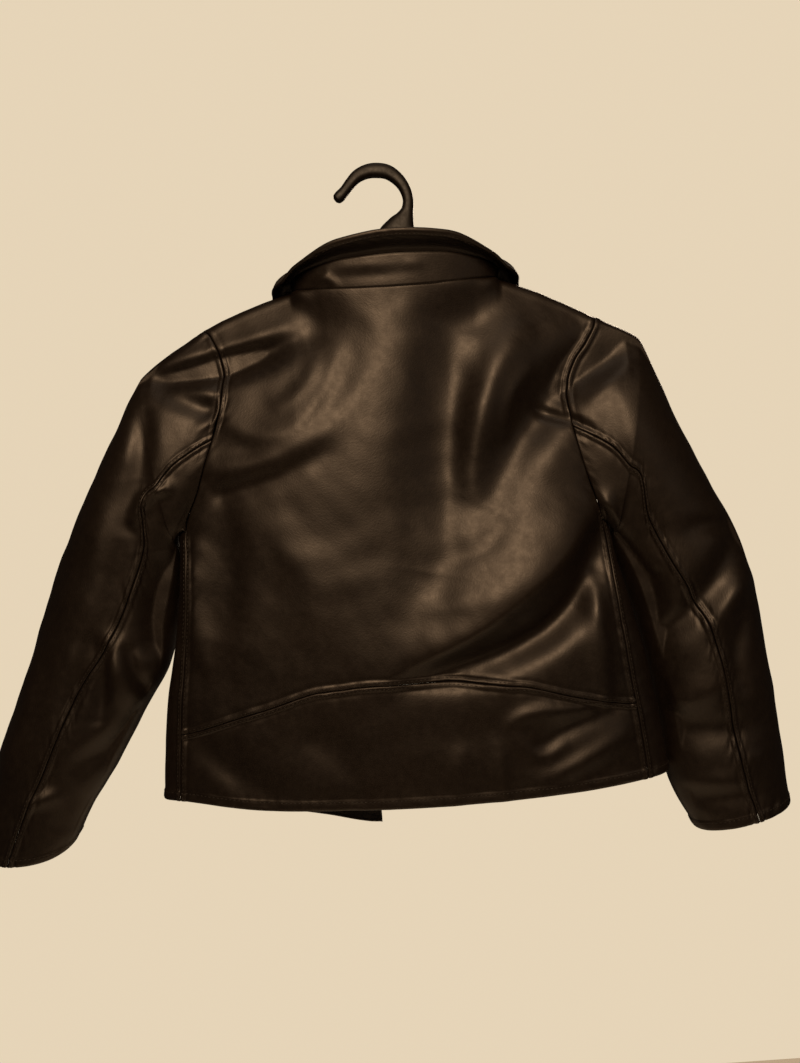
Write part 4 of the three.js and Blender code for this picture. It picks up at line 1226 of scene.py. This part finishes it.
def camera():
    data = bpy.data.cameras.new("camera")
    data.sensor_fit, data.sensor_height, data.sensor_width, data.lens = "VERTICAL", SENSOR, SENSOR, LENS
    data.clip_start = 0.02
    made = add_object("camera", data)
    cos, sin = math.cos(CAMERA_ROLL), math.sin(CAMERA_ROLL)
    turn = Matrix(((cos, sin, 0), (0, 0, -1), (-sin, cos, 0)))
    made.matrix_world = Matrix.Translation(CAMERA_PLACE) @ turn.to_4x4()
    bpy.context.scene.camera = made


def area_light(name, place, target, size, power, color):
    data = bpy.data.lights.new(name, "AREA")
    data.shape, data.size, data.energy, data.color = "DISK", size, power, color
    made = add_object(name, data)
    made.location = place
    made.rotation_euler = (Vector(target) - Vector(place)).to_track_quat("-Z", "Y").to_euler()


def studio():
    middle = (0, 0, -0.3)
    warm, pale = (1, 0.69, 0.42), (1, 0.8, 0.6)
    area_light("key", (-0.1, -1.5, 0.5), middle, 0.7, 16.5, warm)
    area_light("fill", (1.4, -1.5, 0.1), middle, 1.0, 0.8, pale)
    area_light("top", (0.1, -0.5, 1.4), middle, 1.0, 2, pale)
    area_light("behind", (0.7, 1.6, 0.5), middle, 1.0, 24, pale)
    bpy.context.scene.view_settings.view_transform = "Standard"
    world = bpy.data.worlds.new("pale_room")
    world.use_nodes = True
    bpy.context.scene.world = world
    tree = world.node_tree
    seen, lit = tree.nodes["Background"], node(tree, "ShaderNodeBackground")
    seen.inputs["Color"].default_value = (0.79, 0.66, 0.48, 1)
    seen.inputs["Strength"].default_value = 1.0
    lit.inputs["Color"].default_value = (1, 0.86, 0.7, 1)
    lit.inputs["Strength"].default_value = 0.02
    path, either = tree.nodes.new("ShaderNodeLightPath"), tree.nodes.new("ShaderNodeMixShader")
    tree.links.new(path.outputs["Is Camera Ray"], either.inputs[0])
    tree.links.new(lit.outputs[0], either.inputs[1])
    tree.links.new(seen.outputs[0], either.inputs[2])
    tree.links.new(either.outputs[0], tree.nodes["World Output"].inputs["Surface"])
    half, low = 0.78, -1.3
    corners = np.array([(-half, -half, low), (half, -half, low), (half, half, low), (-half, half, low)])
    mesh_object("floor", corners, np.array([[0, 1, 2, 3]]), [floor_finish()])


# Making


def finish_cloth(made, *nodes):
    piece, (width, length, area) = made
    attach(piece, "root")
    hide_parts(*nodes)


camera()
studio()
finish_cloth(back_panel(), "back_panel")
finish_cloth(back_hem_band(), "back_hem_band")
for side in SIDES:
    finish_cloth(front(side), "front_" + side)
    top, under = sleeve(side)
    finish_cloth(top, "sleeve_" + side + "_top")
    finish_cloth(under, "sleeve_" + side + "_under")
stand, leaf = collar()
finish_cloth(stand, "collar_stand")
finish_cloth(leaf, "collar_leaf")
stitches = topstitching()
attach(stitches, "root")
moulding = hanger()
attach(moulding, "root")
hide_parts("hanger")
